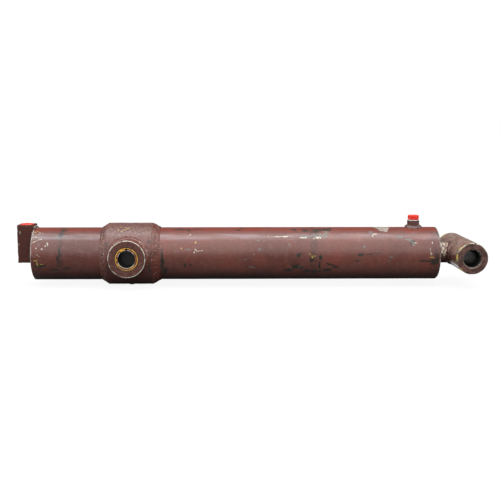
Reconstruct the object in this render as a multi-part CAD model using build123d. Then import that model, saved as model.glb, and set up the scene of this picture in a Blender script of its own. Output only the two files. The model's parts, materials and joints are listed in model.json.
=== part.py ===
from build123d import *
import os

# Double-acting two-stage telescopic hydraulic cylinder with a trunnion collar, drawn closed.
#
# Millimetres. +X runs along the cylinder towards the rod end, +Y along the trunnion's pivot axis
# and +Z up, the way both oil ports face. The origin is where the pivot axis crosses the
# cylinder's axis.

# ---------------------------------------------------------------- driving dimensions
PIN_D = 40.0  # pins of the trunnion sockets and of the rod eye

BARREL_OD = 130.0
BARREL_ID = 110.0
BARREL_BASE_X = -238.0  # end of the barrel that carries the port block
BARREL_GLAND_X = 762.0  # end that the stages come out of
BARREL_END_CHAMFER = 3.0
BARREL_THREAD_D = 116.0  # recess that the barrel gland screws into
CAP_LENGTH = 40.0
WELD_GROOVE = 6.0  # V between the barrel's end and the base cap

STAGE_OD = 92.0  # intermediate stage: outer tube, then the liner inside it
STAGE_ID = 84.0
LINER_OD = 80.0
LINER_ID = 72.0
STAGE_FACE_X = 764.0
ROD_OD = 50.0
ROD_SPIGOT_D = 32.0  # turned end that the rod piston slides onto

RUN = 0.05  # radial clearance of a guide ring or seal on the surface it slides on
FLOAT = 0.03  # radial clearance between a piston's ring and the floor of its groove
GAP = 0.2  # radial clearance of metal beside a sliding surface

COLLAR_OD = 153.0
COLLAR_LENGTH = 112.0
COLLAR_WELD_BASE = 15.0  # length of the weld towards the base end
COLLAR_WELD_GLAND = 19.0  # length of the weld towards the gland end
BOSS_OD = 90.0
BOSS_REACH = 105.0  # pivot faces stand this far from the cylinder's axis
BUSH_OD = 55.0
BUSH_LENGTH = 35.0
BUSH_RECESS = 0.5
BUSH_GROOVE_R = 1.5  # grease groove along the bush
KEEPER_D = 6.0
KEEPER_LENGTH = 8.0
SET_SCREW_D = 14.0
SET_SCREW_LENGTH = 12.0
SET_SCREW_PROUD = 1.5

BLOCK_X = 40.0
BLOCK_Y = 46.0
BLOCK_Z = 94.0
BLOCK_TOP = 73.5
PASSAGE_D = 14.0
BASE_PORT_D = 24.1  # minor diameter of the base port's thread
BASE_PORT_DEPTH = 20.0
SPOTFACE_D = 38.0
SPOTFACE_DEPTH = 1.0

GLAND_PORT_X = 704.0
GLAND_PORT_OD = 30.0
GLAND_PORT_TOP = 83.5
GLAND_PORT_D = 18.6  # minor diameter of the gland port's thread
GLAND_PORT_DEPTH = 14.0
GLAND_PASSAGE_D = 12.0

EYE_X = 827.0
EYE_OD = 76.0
EYE_ID = 44.0
EYE_LENGTH = 212.0
EYE_BUSH_LENGTH = 40.0
EYE_BUSH_INSET = 8.0  # depth of each bush below the eye's end face
NECK_OD = 50.0
NECK_X = 766.0
NECK_THREAD_D = 35.0
NECK_THREAD_LENGTH = 20.0

WELD = 6.0  # leg of the smaller fillet welds
EDGE = 1.5  # chamfer on machined outer edges

# Worked out from the driving dimensions
PIN_R = PIN_D / 2
BARREL_R = BARREL_OD / 2
BORE_R = BARREL_ID / 2
STAGE_R = STAGE_OD / 2
LINER_R = LINER_ID / 2
ROD_R = ROD_OD / 2
COLLAR_R = COLLAR_OD / 2
EYE_R = EYE_OD / 2
CAP_X = BARREL_BASE_X + CAP_LENGTH
BLOCK_MID_X = BARREL_BASE_X - BLOCK_X / 2

# Stations along the axis
GLAND_NOSE_X = 715.0  # inner face of the barrel gland, which stops the stage piston
GLAND_THREAD_X = 729.0
STAGE_PISTON_X = -195.0
STAGE_PISTON_WALL = 12.0
STAGE_PISTON_LAND = 44.0
STAGE_PISTON_NOSE = 22.0
STAGE_GLAND_NOSE_X = 713.0  # inner face of the stage gland, which stops the rod piston
STAGE_GLAND_SHOULDER_X = 725.0
ROD_END_X = -182.0
ROD_NUT_X = -181.0
ROD_NUT_LENGTH = 18.0
ROD_NUT_FLATS = 46.0
ROD_PISTON_LAND = 40.0
ROD_PISTON_NOSE = 20.0
ROD_PISTON_X = ROD_NUT_X + ROD_NUT_LENGTH
ROD_SHOULDER_X = ROD_PISTON_X + ROD_PISTON_LAND + ROD_PISTON_NOSE
STAGE_CUP_X = STAGE_PISTON_X + STAGE_PISTON_WALL
STAGE_LAND_X = STAGE_PISTON_X + STAGE_PISTON_LAND
STAGE_NOSE_X = STAGE_LAND_X + STAGE_PISTON_NOSE
TRANSFER_X = STAGE_NOSE_X - 10.0  # oil holes from the barrel into the double wall
LINER_HOLE_X = STAGE_GLAND_NOSE_X - 10.0  # oil holes from the double wall to the rod


# ---------------------------------------------------------------- shape helpers
# Shapes that cut run on by 1 to 5 mm past the faces they open.
def turned(*outline):
    """Solid of revolution about the cylinder's axis, from (x, radius) corners."""
    face = make_face(Polyline(*outline, close=True))
    return revolve(face, Axis.X)


def ring(x0, x1, r_in, r_out):
    """Plain ring about the cylinder's axis."""
    return turned((x0, r_in), (x1, r_in), (x1, r_out), (x0, r_out))


def bar_x(x0, x1, r, y=0.0, z=0.0):
    """Round bar parallel to X."""
    return Pos((x0 + x1) / 2, y, z) * Rot(0, 90, 0) * Cylinder(r, x1 - x0)


def bar_y(y0, y1, r, x=0.0, z=0.0):
    """Round bar parallel to Y."""
    return Pos(x, (y0 + y1) / 2, z) * Rot(90, 0, 0) * Cylinder(r, y1 - y0)


def bar_z(z0, z1, r, x=0.0, y=0.0):
    """Round bar parallel to Z."""
    return Pos(x, y, (z0 + z1) / 2) * Cylinder(r, z1 - z0)


def cone_z(z0, z1, r0, r1, x=0.0):
    """Cone parallel to Z, of radius r0 at z0 and r1 at z1."""
    return Pos(x, 0, (z0 + z1) / 2) * Cone(r0, r1, z1 - z0)


def block(x0, x1, y0, y1, z0, z1):
    """Box between two corners."""
    return Pos((x0 + x1) / 2, (y0 + y1) / 2, (z0 + z1) / 2) * Box(x1 - x0, y1 - y0, z1 - z0)


def around(shape, count, start=0.0):
    """Copies of a shape, spaced evenly about the cylinder's axis."""
    return [Rot(start + i * 360.0 / count, 0, 0) * shape for i in range(count)]


def o_ring(place, r_wall):
    """Round-section ring between its groove's floor and the wall it seals on."""
    x0, x1, r_floor = place
    slack = 0.02
    section = abs(r_wall - r_floor) / 2 - slack
    middle = (r_wall + r_floor) / 2
    return Pos((x0 + x1) / 2, 0, 0) * Rot(0, 90, 0) * Torus(middle, section)


def rod_side_ring(place, r_rod):
    """Guide ring held in a gland, round a rod of the given radius."""
    x0, x1, r_floor = place
    return ring(x0, x1, r_rod + RUN, r_floor)


def bore_side_ring(place, r_bore):
    """Guide ring or seal held on a piston, in a bore of the given radius."""
    x0, x1, r_floor = place
    return ring(x0, x1, r_floor + FLOAT, r_bore - RUN)


def lip_seal(place, r_rod):
    """Seal with a V notch between two lips, facing the oil at x0."""
    x0, x1, r_out = place
    r_in = r_rod + RUN
    notch = (x1 - x0) * 0.45
    lip = (r_out - r_in) * 0.25
    middle = (r_in + r_out) / 2
    return turned(
        (x0, r_in),
        (x1, r_in),
        (x1, r_out),
        (x0, r_out),
        (x0, r_out - lip),
        (x0 + notch, middle),
        (x0, r_in + lip),
    )


def wiper(place, r_rod):
    """Wiper whose scraping lip stands a little out of the gland's face at x1."""
    x0, face_x, r_out = place
    r_in = r_rod + RUN
    lip = 1.5
    heel = 1.2
    body = 7.0
    return turned(
        (x0, r_in + heel),
        (x0 + body, r_in),
        (face_x + lip, r_in),
        (face_x + lip, r_in + 1),
        (face_x - 2, r_out - lip),
        (face_x - 2, r_out),
        (x0, r_out),
    )


def hex_bar_x(x0, x1, flats):
    """Hexagonal bar about the cylinder's axis."""
    outline = RegularPolygon(radius=flats / 2, side_count=6, major_radius=False)
    return Pos(x0, 0, 0) * Rot(0, 90, 0) * extrude(outline, x1 - x0)


def save(name, shape):
    """Writes one named piece."""
    export_step(shape, os.path.join("parts", name + ".step"))


def save_group(name, shapes):
    """Writes identical pieces, or runs of one weld, as separate solids of one node."""
    save(name, Compound(children=[solid for shape in shapes for solid in shape.solids()]))


# ---------------------------------------------------------------- barrel
def barrel_tube():
    mouth = 1.0
    tube = turned(
        (BARREL_BASE_X, BORE_R + WELD_GROOVE),
        (BARREL_BASE_X + WELD_GROOVE, BORE_R),
        (GLAND_THREAD_X, BORE_R),
        (GLAND_THREAD_X, BARREL_THREAD_D / 2),
        (BARREL_GLAND_X - mouth, BARREL_THREAD_D / 2),
        (BARREL_GLAND_X, BARREL_THREAD_D / 2 + mouth),
        (BARREL_GLAND_X, BARREL_R - BARREL_END_CHAMFER),
        (BARREL_GLAND_X - BARREL_END_CHAMFER, BARREL_R),
        (BARREL_BASE_X + mouth, BARREL_R),
        (BARREL_BASE_X, BARREL_R - mouth),
    )
    return tube - bar_z(BORE_R - 10, BARREL_R + 10, GLAND_PASSAGE_D / 2, GLAND_PORT_X)


def base_cap():
    plug = turned(
        (BARREL_BASE_X, PASSAGE_D / 2),
        (CAP_X, PASSAGE_D / 2),
        (CAP_X, BORE_R - EDGE),
        (CAP_X - EDGE, BORE_R),
        (BARREL_BASE_X + WELD_GROOVE, BORE_R),
        (BARREL_BASE_X, BORE_R - WELD_GROOVE),
    )
    return plug


def base_cap_weld():
    return turned(
        (BARREL_BASE_X, BORE_R - WELD_GROOVE),
        (BARREL_BASE_X + WELD_GROOVE, BORE_R),
        (BARREL_BASE_X, BORE_R + WELD_GROOVE),
    )


def port_block():
    x0 = BARREL_BASE_X - BLOCK_X
    body = block(x0, BARREL_BASE_X, -BLOCK_Y / 2, BLOCK_Y / 2, BLOCK_TOP - BLOCK_Z, BLOCK_TOP)
    edges = body.edges().filter_by(Axis.Z).sort_by(Axis.X)[:2]
    body = chamfer(edges, EDGE)
    floor = BLOCK_TOP - BASE_PORT_DEPTH
    body -= bar_z(BLOCK_TOP - SPOTFACE_DEPTH, BLOCK_TOP + 5, SPOTFACE_D / 2, BLOCK_MID_X)
    body -= bar_z(floor, BLOCK_TOP + 5, BASE_PORT_D / 2, BLOCK_MID_X)
    body -= bar_z(-PASSAGE_D / 2, floor + 1, PASSAGE_D / 2, BLOCK_MID_X)
    body -= bar_x(BLOCK_MID_X, BARREL_BASE_X + 5, PASSAGE_D / 2)
    return body


def port_block_weld():
    """Fillet down both sides and under the block, and a bead where it overhangs the barrel."""
    half = BLOCK_Y / 2
    bottom = BLOCK_TOP - BLOCK_Z
    x0 = BARREL_BASE_X - WELD
    outer = block(x0, BARREL_BASE_X, -half - WELD, half + WELD, bottom - WELD, BARREL_R)
    outer &= bar_x(x0, BARREL_BASE_X, BARREL_R - 1)
    sides = outer - block(x0 - 1, BARREL_BASE_X + 1, -half, half, bottom, BLOCK_TOP)
    overhang = 7.0
    inset = 4.0
    bead = block(
        BARREL_BASE_X,
        BARREL_BASE_X + overhang,
        inset - half,
        half - inset,
        BARREL_R - WELD,
        BARREL_R + overhang,
    )
    bead -= bar_x(BARREL_BASE_X - 1, BARREL_BASE_X + overhang + 1, BARREL_R)
    return [sides, bead]


# ---------------------------------------------------------------- trunnion
def trunnion_collar():
    half = COLLAR_LENGTH / 2
    collar = turned(
        (-half, BARREL_R),
        (half, BARREL_R),
        (half, COLLAR_R - EDGE),
        (half - EDGE, COLLAR_R),
        (EDGE - half, COLLAR_R),
        (-half, COLLAR_R - EDGE),
    )
    collar -= bar_y(-COLLAR_R - 5, COLLAR_R + 5, BOSS_OD / 2)
    return collar - bar_z(-COLLAR_R - 5, -BARREL_R + 5, SET_SCREW_D / 2)


def collar_welds():
    """The weld at each end of the collar, hollow-faced as a fillet in two straight runs."""
    half = COLLAR_LENGTH / 2
    rise = COLLAR_R - BARREL_R - EDGE
    base = turned(
        (-half - COLLAR_WELD_BASE, BARREL_R),
        (-half, BARREL_R),
        (-half, BARREL_R + rise),
        (-half - COLLAR_WELD_BASE * 0.35, BARREL_R + rise * 0.7),
    )
    gland = turned(
        (half, BARREL_R),
        (half + COLLAR_WELD_GLAND, BARREL_R),
        (half + COLLAR_WELD_GLAND * 0.45, BARREL_R + rise * 0.6),
        (half, BARREL_R + rise),
    )
    return [base, gland]


def trunnion_boss():
    """Socket for one pivot pin, pushed through the collar onto the barrel, on the -Y side."""
    pocket = BUSH_RECESS + BUSH_LENGTH + 2.0
    boss = bar_y(-BOSS_REACH, -BARREL_R + 25, BOSS_OD / 2)
    boss = chamfer(boss.edges().group_by(Axis.Y)[0], EDGE)
    boss -= bar_x(-BOSS_OD, BOSS_OD, BARREL_R)
    boss -= bar_y(-BOSS_REACH - 1, -BOSS_REACH + pocket, BUSH_OD / 2)
    return boss


def boss_weld():
    """Saddle-shaped weld where the -Y boss leaves the collar."""
    weld = bar_y(-COLLAR_R - WELD, 0, BOSS_OD / 2 + WELD)
    weld &= bar_x(-BOSS_OD, BOSS_OD, COLLAR_R + WELD)
    weld -= bar_x(-BOSS_OD, BOSS_OD, COLLAR_R)
    return weld - bar_y(-BOSS_REACH, 0, BOSS_OD / 2)


def bush():
    """Plain bearing bush of the -Y socket, with a grease groove and its keeper's hole."""
    face = -BOSS_REACH + BUSH_RECESS
    body = bar_y(face, face + BUSH_LENGTH, BUSH_OD / 2)
    body -= bar_y(face - 1, face + BUSH_LENGTH + 1, PIN_R)
    mouth = body.edges().filter_by(GeomType.CIRCLE).group_by(Axis.Y)[0].sort_by(SortBy.RADIUS)[0]
    body = chamfer(mouth, 1.0)
    groove_end = face + KEEPER_LENGTH + 2
    body -= bar_y(groove_end, face + BUSH_LENGTH + 1, BUSH_GROOVE_R, z=-PIN_R)
    return body - bar_y(face - 1, face + KEEPER_LENGTH, KEEPER_D / 2, z=keeper_height())


def keeper_height():
    """Middle of the bush's wall, above the pin."""
    return (PIN_R + BUSH_OD / 2) / 2


def bush_keeper_screw():
    face = -BOSS_REACH + BUSH_RECESS
    screw = bar_y(face, face + KEEPER_LENGTH, KEEPER_D / 2, z=keeper_height())
    socket = RegularPolygon(radius=KEEPER_D / 4, side_count=6, major_radius=False)
    cut = Pos(0, face + 3, keeper_height()) * Rot(90, 0, 0) * extrude(socket, 4)
    return screw - cut


def collar_set_screw():
    low = -COLLAR_R - SET_SCREW_PROUD
    screw = bar_z(low, low + SET_SCREW_LENGTH, SET_SCREW_D / 2)
    screw = chamfer(screw.edges().group_by(Axis.Z)[0], 1.0)
    socket = RegularPolygon(radius=SET_SCREW_D / 4, side_count=6, major_radius=False)
    return screw - Pos(0, 0, low - 1) * extrude(socket, 6)


# ---------------------------------------------------------------- ports and their plugs
def gland_port_boss():
    boss = bar_z(BARREL_R - 10, GLAND_PORT_TOP, GLAND_PORT_OD / 2, GLAND_PORT_X)
    boss = chamfer(boss.edges().group_by(Axis.Z)[-1], EDGE)
    boss -= bar_x(GLAND_PORT_X - GLAND_PORT_OD, GLAND_PORT_X + GLAND_PORT_OD, BARREL_R)
    floor = GLAND_PORT_TOP - GLAND_PORT_DEPTH
    boss -= bar_z(floor, GLAND_PORT_TOP + 1, GLAND_PORT_D / 2, GLAND_PORT_X)
    return boss - bar_z(BARREL_R - 11, floor + 1, GLAND_PASSAGE_D / 2, GLAND_PORT_X)


def gland_port_weld():
    low = BARREL_R - 5
    high = BARREL_R + WELD
    weld = cone_z(low, high, GLAND_PORT_OD / 2 + WELD + 3, GLAND_PORT_OD / 2 + 0.5, GLAND_PORT_X)
    weld -= bar_z(low - 1, high + 1, GLAND_PORT_OD / 2, GLAND_PORT_X)
    return weld - bar_x(GLAND_PORT_X - 40, GLAND_PORT_X + 40, BARREL_R)


def gland_port_plug():
    """Push-in plastic plug with a fluted head and a coin slot, resting on a narrow shoulder."""
    head_r = 13.7
    shoulder_r = 11.0
    shoulder_height = 1.5
    head_height = 10.0
    flutes = 18
    stem_r = GLAND_PORT_D / 2 - RUN
    base = GLAND_PORT_TOP + shoulder_height
    top = base + head_height
    head = bar_z(base, top, head_r)
    head = chamfer(head.edges().group_by(Axis.Z)[-1], EDGE)
    flute = bar_z(base + 2, top + 1, 0.9, head_r + 0.4)
    head -= [Rot(0, 0, i * 360 / flutes) * flute for i in range(flutes)]
    head -= block(-8, 8, -1.5, 1.5, top - 3, top + 1)
    head += bar_z(GLAND_PORT_TOP, base, shoulder_r)
    stem = bar_z(GLAND_PORT_TOP - 10, GLAND_PORT_TOP, stem_r)
    stem = chamfer(stem.edges().group_by(Axis.Z)[0], EDGE)
    hollow = bar_z(GLAND_PORT_TOP - 11, top - 5, stem_r - 2.5)
    return Pos(GLAND_PORT_X, 0, 0) * (head + stem - hollow)


def base_port_plug():
    """Push-in plastic plug with a flat flange and a hexagonal recess."""
    flange_r = 17.0
    seat = BLOCK_TOP - SPOTFACE_DEPTH
    top = seat + 2.5
    stem_r = BASE_PORT_D / 2 - RUN
    plug = bar_z(seat, top, flange_r)
    plug = chamfer(plug.edges().group_by(Axis.Z)[-1], 0.8)
    stem = bar_z(seat - 14, seat, stem_r)
    plug += chamfer(stem.edges().group_by(Axis.Z)[0], 2.0)
    recess = RegularPolygon(radius=6.0, side_count=6, major_radius=False)
    return Pos(BLOCK_MID_X, 0, 0) * (plug - Pos(0, 0, top - 8) * extrude(recess, 10))


# ---------------------------------------------------------------- barrel gland
# Seals and guide rings below are given as (x0, x1, radius of their groove's floor)
GLAND_WEAR = (718.0, 730.0, STAGE_R + 2.7)
GLAND_SEAL = (733.5, 743.5, STAGE_R + 6.2)
GLAND_WIPER = (749.0, BARREL_GLAND_X, STAGE_R + 5.2)
GLAND_O_RING = (720.0, 724.6, BORE_R - 2.8)


def barrel_gland():
    inner = STAGE_R + GAP
    gland = ring(GLAND_NOSE_X, GLAND_THREAD_X, inner, BORE_R)
    gland += ring(GLAND_THREAD_X, BARREL_GLAND_X, inner, BARREL_THREAD_D / 2)
    for x0, x1, r in (GLAND_WEAR, GLAND_SEAL, GLAND_WIPER):
        gland -= groove(x0, x1, inner - 1, r)
    x0, x1, r = GLAND_O_RING
    gland -= ring(x0, x1, r, BORE_R + 1)
    return gland - spanner_holes(BARREL_GLAND_X, GLAND_WIPER[2], BARREL_THREAD_D / 2)


def spanner_holes(face_x, r_in, r_out):
    """Four blind holes in a gland's face, midway between its wiper and its rim."""
    depth = 6.0
    hole = bar_x(face_x - depth, face_x + 1, 2.5, z=(r_in + r_out) / 2)
    return around(hole, 4, 45)


def groove(x0, x1, r_in, r_out):
    """Cut for a ring that leaves a little room at each side of it."""
    side = 0.1
    return ring(x0 - side, x1 + side, r_in, r_out)


# ---------------------------------------------------------------- intermediate stage
STAGE_SEAL = (-178.0, -168.0, 49.6)
STAGE_WEAR = ((-193.0, -183.0, 52.3), (-164.0, -154.0, 52.3))
STAGE_GLAND_WEAR = (722.0, 732.0, ROD_R + 2.7)
STAGE_GLAND_SEAL = (736.0, 744.5, ROD_R + 6.0)
STAGE_GLAND_WIPER = (752.0, STAGE_FACE_X, ROD_R + 5.0)
STAGE_GLAND_O_RING = (728.0, 732.6, STAGE_ID / 2 - 2.8)
STAGE_SPIGOT_O_RING = (717.0, 720.6, LINER_R - 2.4)
OIL_HOLE_R = 4.0


def stage_outer_tube():
    tube = turned(
        (STAGE_CUP_X, STAGE_ID / 2),
        (STAGE_FACE_X, STAGE_ID / 2),
        (STAGE_FACE_X, STAGE_R - EDGE),
        (STAGE_FACE_X - EDGE, STAGE_R),
        (STAGE_CUP_X, STAGE_R),
    )
    return tube - around(bar_z(STAGE_ID / 2 - 5, STAGE_R + 5, OIL_HOLE_R, TRANSFER_X), 4)


def stage_liner_tube():
    tube = ring(STAGE_CUP_X - 4, STAGE_GLAND_SHOULDER_X, LINER_R, LINER_OD / 2)
    return tube - around(bar_z(LINER_R - 5, LINER_OD / 2 + 5, OIL_HOLE_R - 1, LINER_HOLE_X), 4)


def stage_piston():
    land_r = BORE_R - GAP
    piston = ring(STAGE_PISTON_X, STAGE_LAND_X, 15.0, land_r)
    piston += ring(STAGE_LAND_X, STAGE_NOSE_X, 15.0, STAGE_R + 3.0)
    piston -= bar_x(STAGE_CUP_X, STAGE_NOSE_X + 1, STAGE_R)
    piston -= bar_x(STAGE_CUP_X - 4, STAGE_CUP_X + 1, LINER_OD / 2)
    for x0, x1, r in (STAGE_SEAL, *STAGE_WEAR):
        piston -= groove(x0, x1, r, BORE_R + 1)
    return piston - around(bar_z(STAGE_R - 5, BORE_R, OIL_HOLE_R, TRANSFER_X), 4)


def stage_gland():
    inner = ROD_R + GAP
    gland = ring(STAGE_GLAND_NOSE_X, STAGE_GLAND_SHOULDER_X, inner, LINER_R)
    gland += ring(STAGE_GLAND_SHOULDER_X, STAGE_FACE_X, inner, STAGE_ID / 2)
    for x0, x1, r in (STAGE_GLAND_WEAR, STAGE_GLAND_SEAL, STAGE_GLAND_WIPER):
        gland -= groove(x0, x1, inner - 1, r)
    for x0, x1, r in (STAGE_GLAND_O_RING, STAGE_SPIGOT_O_RING):
        gland -= ring(x0, x1, r, STAGE_R)
    return gland - spanner_holes(STAGE_FACE_X, STAGE_GLAND_WIPER[2], STAGE_ID / 2)


# ---------------------------------------------------------------- rod
ROD_SEAL = (-147.0, -139.0, 30.0)
ROD_WEAR = ((-161.0, -153.0, 33.3), (-133.0, -125.0, 33.3))
ROD_O_RING = (-115.0, -111.4, ROD_SPIGOT_D / 2 + 2.4)


def piston_rod():
    spigot = ROD_SPIGOT_D / 2
    thread = NECK_THREAD_D / 2
    return turned(
        (ROD_END_X, 0),
        (NECK_X + NECK_THREAD_LENGTH, 0),
        (NECK_X + NECK_THREAD_LENGTH, thread - EDGE),
        (NECK_X + NECK_THREAD_LENGTH - EDGE, thread),
        (NECK_X, thread),
        (NECK_X, ROD_R),
        (ROD_SHOULDER_X, ROD_R),
        (ROD_SHOULDER_X, spigot),
        (ROD_END_X + EDGE, spigot),
        (ROD_END_X, spigot - EDGE),
    )


def rod_piston():
    spigot = ROD_SPIGOT_D / 2
    land_x = ROD_PISTON_X + ROD_PISTON_LAND
    piston = ring(ROD_PISTON_X, land_x, spigot, LINER_R - GAP)
    piston += ring(land_x, ROD_SHOULDER_X, spigot, ROD_R + 5)
    for x0, x1, r in (ROD_SEAL, *ROD_WEAR):
        piston -= groove(x0, x1, r, LINER_R + 1)
    x0, x1, r = ROD_O_RING
    return piston - ring(x0, x1, spigot - 1, r)


def rod_piston_nut():
    nut = hex_bar_x(ROD_NUT_X, ROD_PISTON_X, ROD_NUT_FLATS)
    corner = ROD_NUT_FLATS / 3**0.5
    nut &= turned(
        (ROD_NUT_X, 0),
        (ROD_PISTON_X, 0),
        (ROD_PISTON_X, corner - 2),
        (ROD_PISTON_X - 2, corner + 0.5),
        (ROD_NUT_X + 2, corner + 0.5),
        (ROD_NUT_X, corner - 2),
    )
    return nut - bar_x(ROD_NUT_X - 1, ROD_PISTON_X + 1, ROD_SPIGOT_D / 2)


def rod_neck():
    """Stub that the rod screws into, cut to sit on the eye tube."""
    neck = turned(
        (NECK_X, 0),
        (EYE_X, 0),
        (EYE_X, NECK_OD / 2),
        (NECK_X + EDGE, NECK_OD / 2),
        (NECK_X, NECK_OD / 2 - EDGE),
    )
    neck -= bar_x(NECK_X - 1, NECK_X + NECK_THREAD_LENGTH, NECK_THREAD_D / 2)
    return neck - bar_y(-NECK_OD, NECK_OD, EYE_R, EYE_X)


def rod_eye_tube():
    half = EYE_LENGTH / 2
    tube = bar_y(-half, half, EYE_R, EYE_X)
    tube = chamfer(tube.edges().filter_by(GeomType.CIRCLE), EDGE)
    tube -= bar_y(-half - 1, half + 1, EYE_ID / 2, EYE_X)
    bores = tube.edges().filter_by(GeomType.CIRCLE).sort_by(SortBy.RADIUS)[:2]
    return chamfer(bores, 1.2)


def rod_eye_bush():
    """Thin-walled dry bush in the -Y end of the eye."""
    face = -EYE_LENGTH / 2 + EYE_BUSH_INSET
    body = bar_y(face, face + EYE_BUSH_LENGTH, EYE_ID / 2, EYE_X)
    return body - bar_y(face - 1, face + EYE_BUSH_LENGTH + 1, PIN_R, EYE_X)


def rod_eye_weld():
    """Saddle-shaped weld between the neck and the eye tube."""
    weld = bar_x(EYE_X - EYE_R - WELD, EYE_X, NECK_OD / 2 + WELD)
    weld &= bar_y(-EYE_LENGTH / 2, EYE_LENGTH / 2, EYE_R + WELD, EYE_X)
    weld -= bar_y(-EYE_LENGTH / 2, EYE_LENGTH / 2, EYE_R, EYE_X)
    return weld - bar_x(NECK_X, EYE_X + 1, NECK_OD / 2)


# ---------------------------------------------------------------- write every piece
os.makedirs("parts", exist_ok=True)

REAR = Rot(0, 0, 180)  # turns a -Y piece of the trunnion to the +Y side

save("barrel_tube", barrel_tube())
save("base_cap", base_cap())
save("base_cap_weld", base_cap_weld())
save("port_block", port_block())
save_group("port_block_weld", port_block_weld())

save("trunnion_collar", trunnion_collar())
save_group("trunnion_collar_welds", collar_welds())
save("trunnion_boss_front", trunnion_boss())
save("trunnion_boss_rear", REAR * trunnion_boss())
save_group("trunnion_boss_welds", [boss_weld(), REAR * boss_weld()])
save("trunnion_bush_front", bush())
save("trunnion_bush_rear", REAR * bush())
save_group("bush_keeper_screws", [bush_keeper_screw(), REAR * bush_keeper_screw()])
save("collar_set_screw", collar_set_screw())

save("gland_port_boss", gland_port_boss())
save("gland_port_weld", gland_port_weld())
save("gland_port_plug", gland_port_plug())
save("base_port_plug", base_port_plug())

save("barrel_gland", barrel_gland())
save("barrel_gland_guide_ring", rod_side_ring(GLAND_WEAR, STAGE_R))
save("barrel_gland_seal", lip_seal(GLAND_SEAL, STAGE_R))
save("barrel_gland_wiper", wiper(GLAND_WIPER, STAGE_R))
save("barrel_gland_o_ring", o_ring(GLAND_O_RING, BORE_R))

save("stage_outer_tube", stage_outer_tube())
save("stage_liner_tube", stage_liner_tube())
save("stage_piston", stage_piston())
save("stage_piston_seal", bore_side_ring(STAGE_SEAL, BORE_R))
save_group("stage_piston_guide_rings", [bore_side_ring(place, BORE_R) for place in STAGE_WEAR])
save("stage_gland", stage_gland())
save("stage_gland_guide_ring", rod_side_ring(STAGE_GLAND_WEAR, ROD_R))
save("stage_gland_seal", lip_seal(STAGE_GLAND_SEAL, ROD_R))
save("stage_gland_wiper", wiper(STAGE_GLAND_WIPER, ROD_R))
save("stage_gland_o_ring", o_ring(STAGE_GLAND_O_RING, STAGE_ID / 2))
save("stage_gland_spigot_o_ring", o_ring(STAGE_SPIGOT_O_RING, LINER_R))

save("piston_rod", piston_rod())
save("rod_piston", rod_piston())
save("rod_piston_seal", bore_side_ring(ROD_SEAL, LINER_R))
save_group("rod_piston_guide_rings", [bore_side_ring(place, LINER_R) for place in ROD_WEAR])
save("rod_piston_o_ring", o_ring(ROD_O_RING, ROD_SPIGOT_D / 2))
save("rod_piston_nut", rod_piston_nut())
save("rod_neck", rod_neck())
save("rod_eye_tube", rod_eye_tube())
save("rod_eye_weld", rod_eye_weld())
save("rod_eye_bush_front", rod_eye_bush())
save("rod_eye_bush_rear", mirror(rod_eye_bush(), Plane.XZ))
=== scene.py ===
import json
import math

import bmesh
import bpy
import numpy as np
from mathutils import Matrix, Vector, noise


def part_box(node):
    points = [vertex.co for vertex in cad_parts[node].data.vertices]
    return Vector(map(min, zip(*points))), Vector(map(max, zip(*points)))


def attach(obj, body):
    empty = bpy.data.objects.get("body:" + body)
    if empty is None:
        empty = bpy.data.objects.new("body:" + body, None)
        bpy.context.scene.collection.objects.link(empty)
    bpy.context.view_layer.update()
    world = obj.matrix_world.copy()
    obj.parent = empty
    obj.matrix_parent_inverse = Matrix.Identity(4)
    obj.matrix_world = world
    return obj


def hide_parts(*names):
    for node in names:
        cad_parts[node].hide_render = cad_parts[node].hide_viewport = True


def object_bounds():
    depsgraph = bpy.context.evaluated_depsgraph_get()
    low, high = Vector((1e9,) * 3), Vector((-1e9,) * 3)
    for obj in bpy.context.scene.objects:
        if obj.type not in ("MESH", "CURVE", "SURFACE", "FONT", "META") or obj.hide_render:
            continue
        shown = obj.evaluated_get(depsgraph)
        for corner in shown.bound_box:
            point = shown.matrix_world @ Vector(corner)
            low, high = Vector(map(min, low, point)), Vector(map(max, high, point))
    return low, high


# A worn telescopic cylinder in red-oxide paint. Metres, in the CAD frame: +X runs towards the rod
# eye, +Y along the pivot axis to the back, +Z up. Each part that shows is rebuilt here as a finer
# mesh of the CAD part's own size; the parts inside keep their CAD shape and get a material.

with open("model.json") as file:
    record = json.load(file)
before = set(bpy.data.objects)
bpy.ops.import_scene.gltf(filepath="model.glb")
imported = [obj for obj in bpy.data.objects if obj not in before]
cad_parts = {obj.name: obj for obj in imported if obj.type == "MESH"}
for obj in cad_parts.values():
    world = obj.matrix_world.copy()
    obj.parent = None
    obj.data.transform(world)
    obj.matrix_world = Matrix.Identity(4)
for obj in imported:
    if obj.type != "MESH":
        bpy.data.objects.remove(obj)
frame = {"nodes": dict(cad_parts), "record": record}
cad_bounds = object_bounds()
record = frame["record"]

MM = 0.001
TAU = 2 * math.pi

# ---------------------------------------------------------------- sizes, read from the frame
BODY_OF = {node: body for body, nodes in record["behaviour"]["bodies"].items() for node in nodes}
SLOT_OF = {part["node"]: part["material_slot"] for part in record["subparts"]}
MOUNTS = {mount["name"]: mount for mount in record["mounts"]}
PIN_R = MOUNTS["trunnion_bore_front"]["dims"]["r_mm"] * MM

(BARREL_X0, _, _), (BARREL_X1, _, BARREL_R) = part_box("barrel_tube")
BORE_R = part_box("base_cap")[1].z
(GLAND_X0, _, _), (_, _, GLAND_R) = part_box("barrel_gland")

COLLAR_X1, _, COLLAR_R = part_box("trunnion_collar")[1]
(COLLAR_WELD_X0, _, _), (COLLAR_WELD_X1, _, _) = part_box("trunnion_collar_welds")
BOSS_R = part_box("trunnion_boss_front")[1].z
BOSS_FACE = -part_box("trunnion_boss_front")[0].y
BUSH_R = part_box("trunnion_bush_front")[1].z
BUSH_FACE, BUSH_END = (-corner.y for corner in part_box("trunnion_bush_front"))

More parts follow.
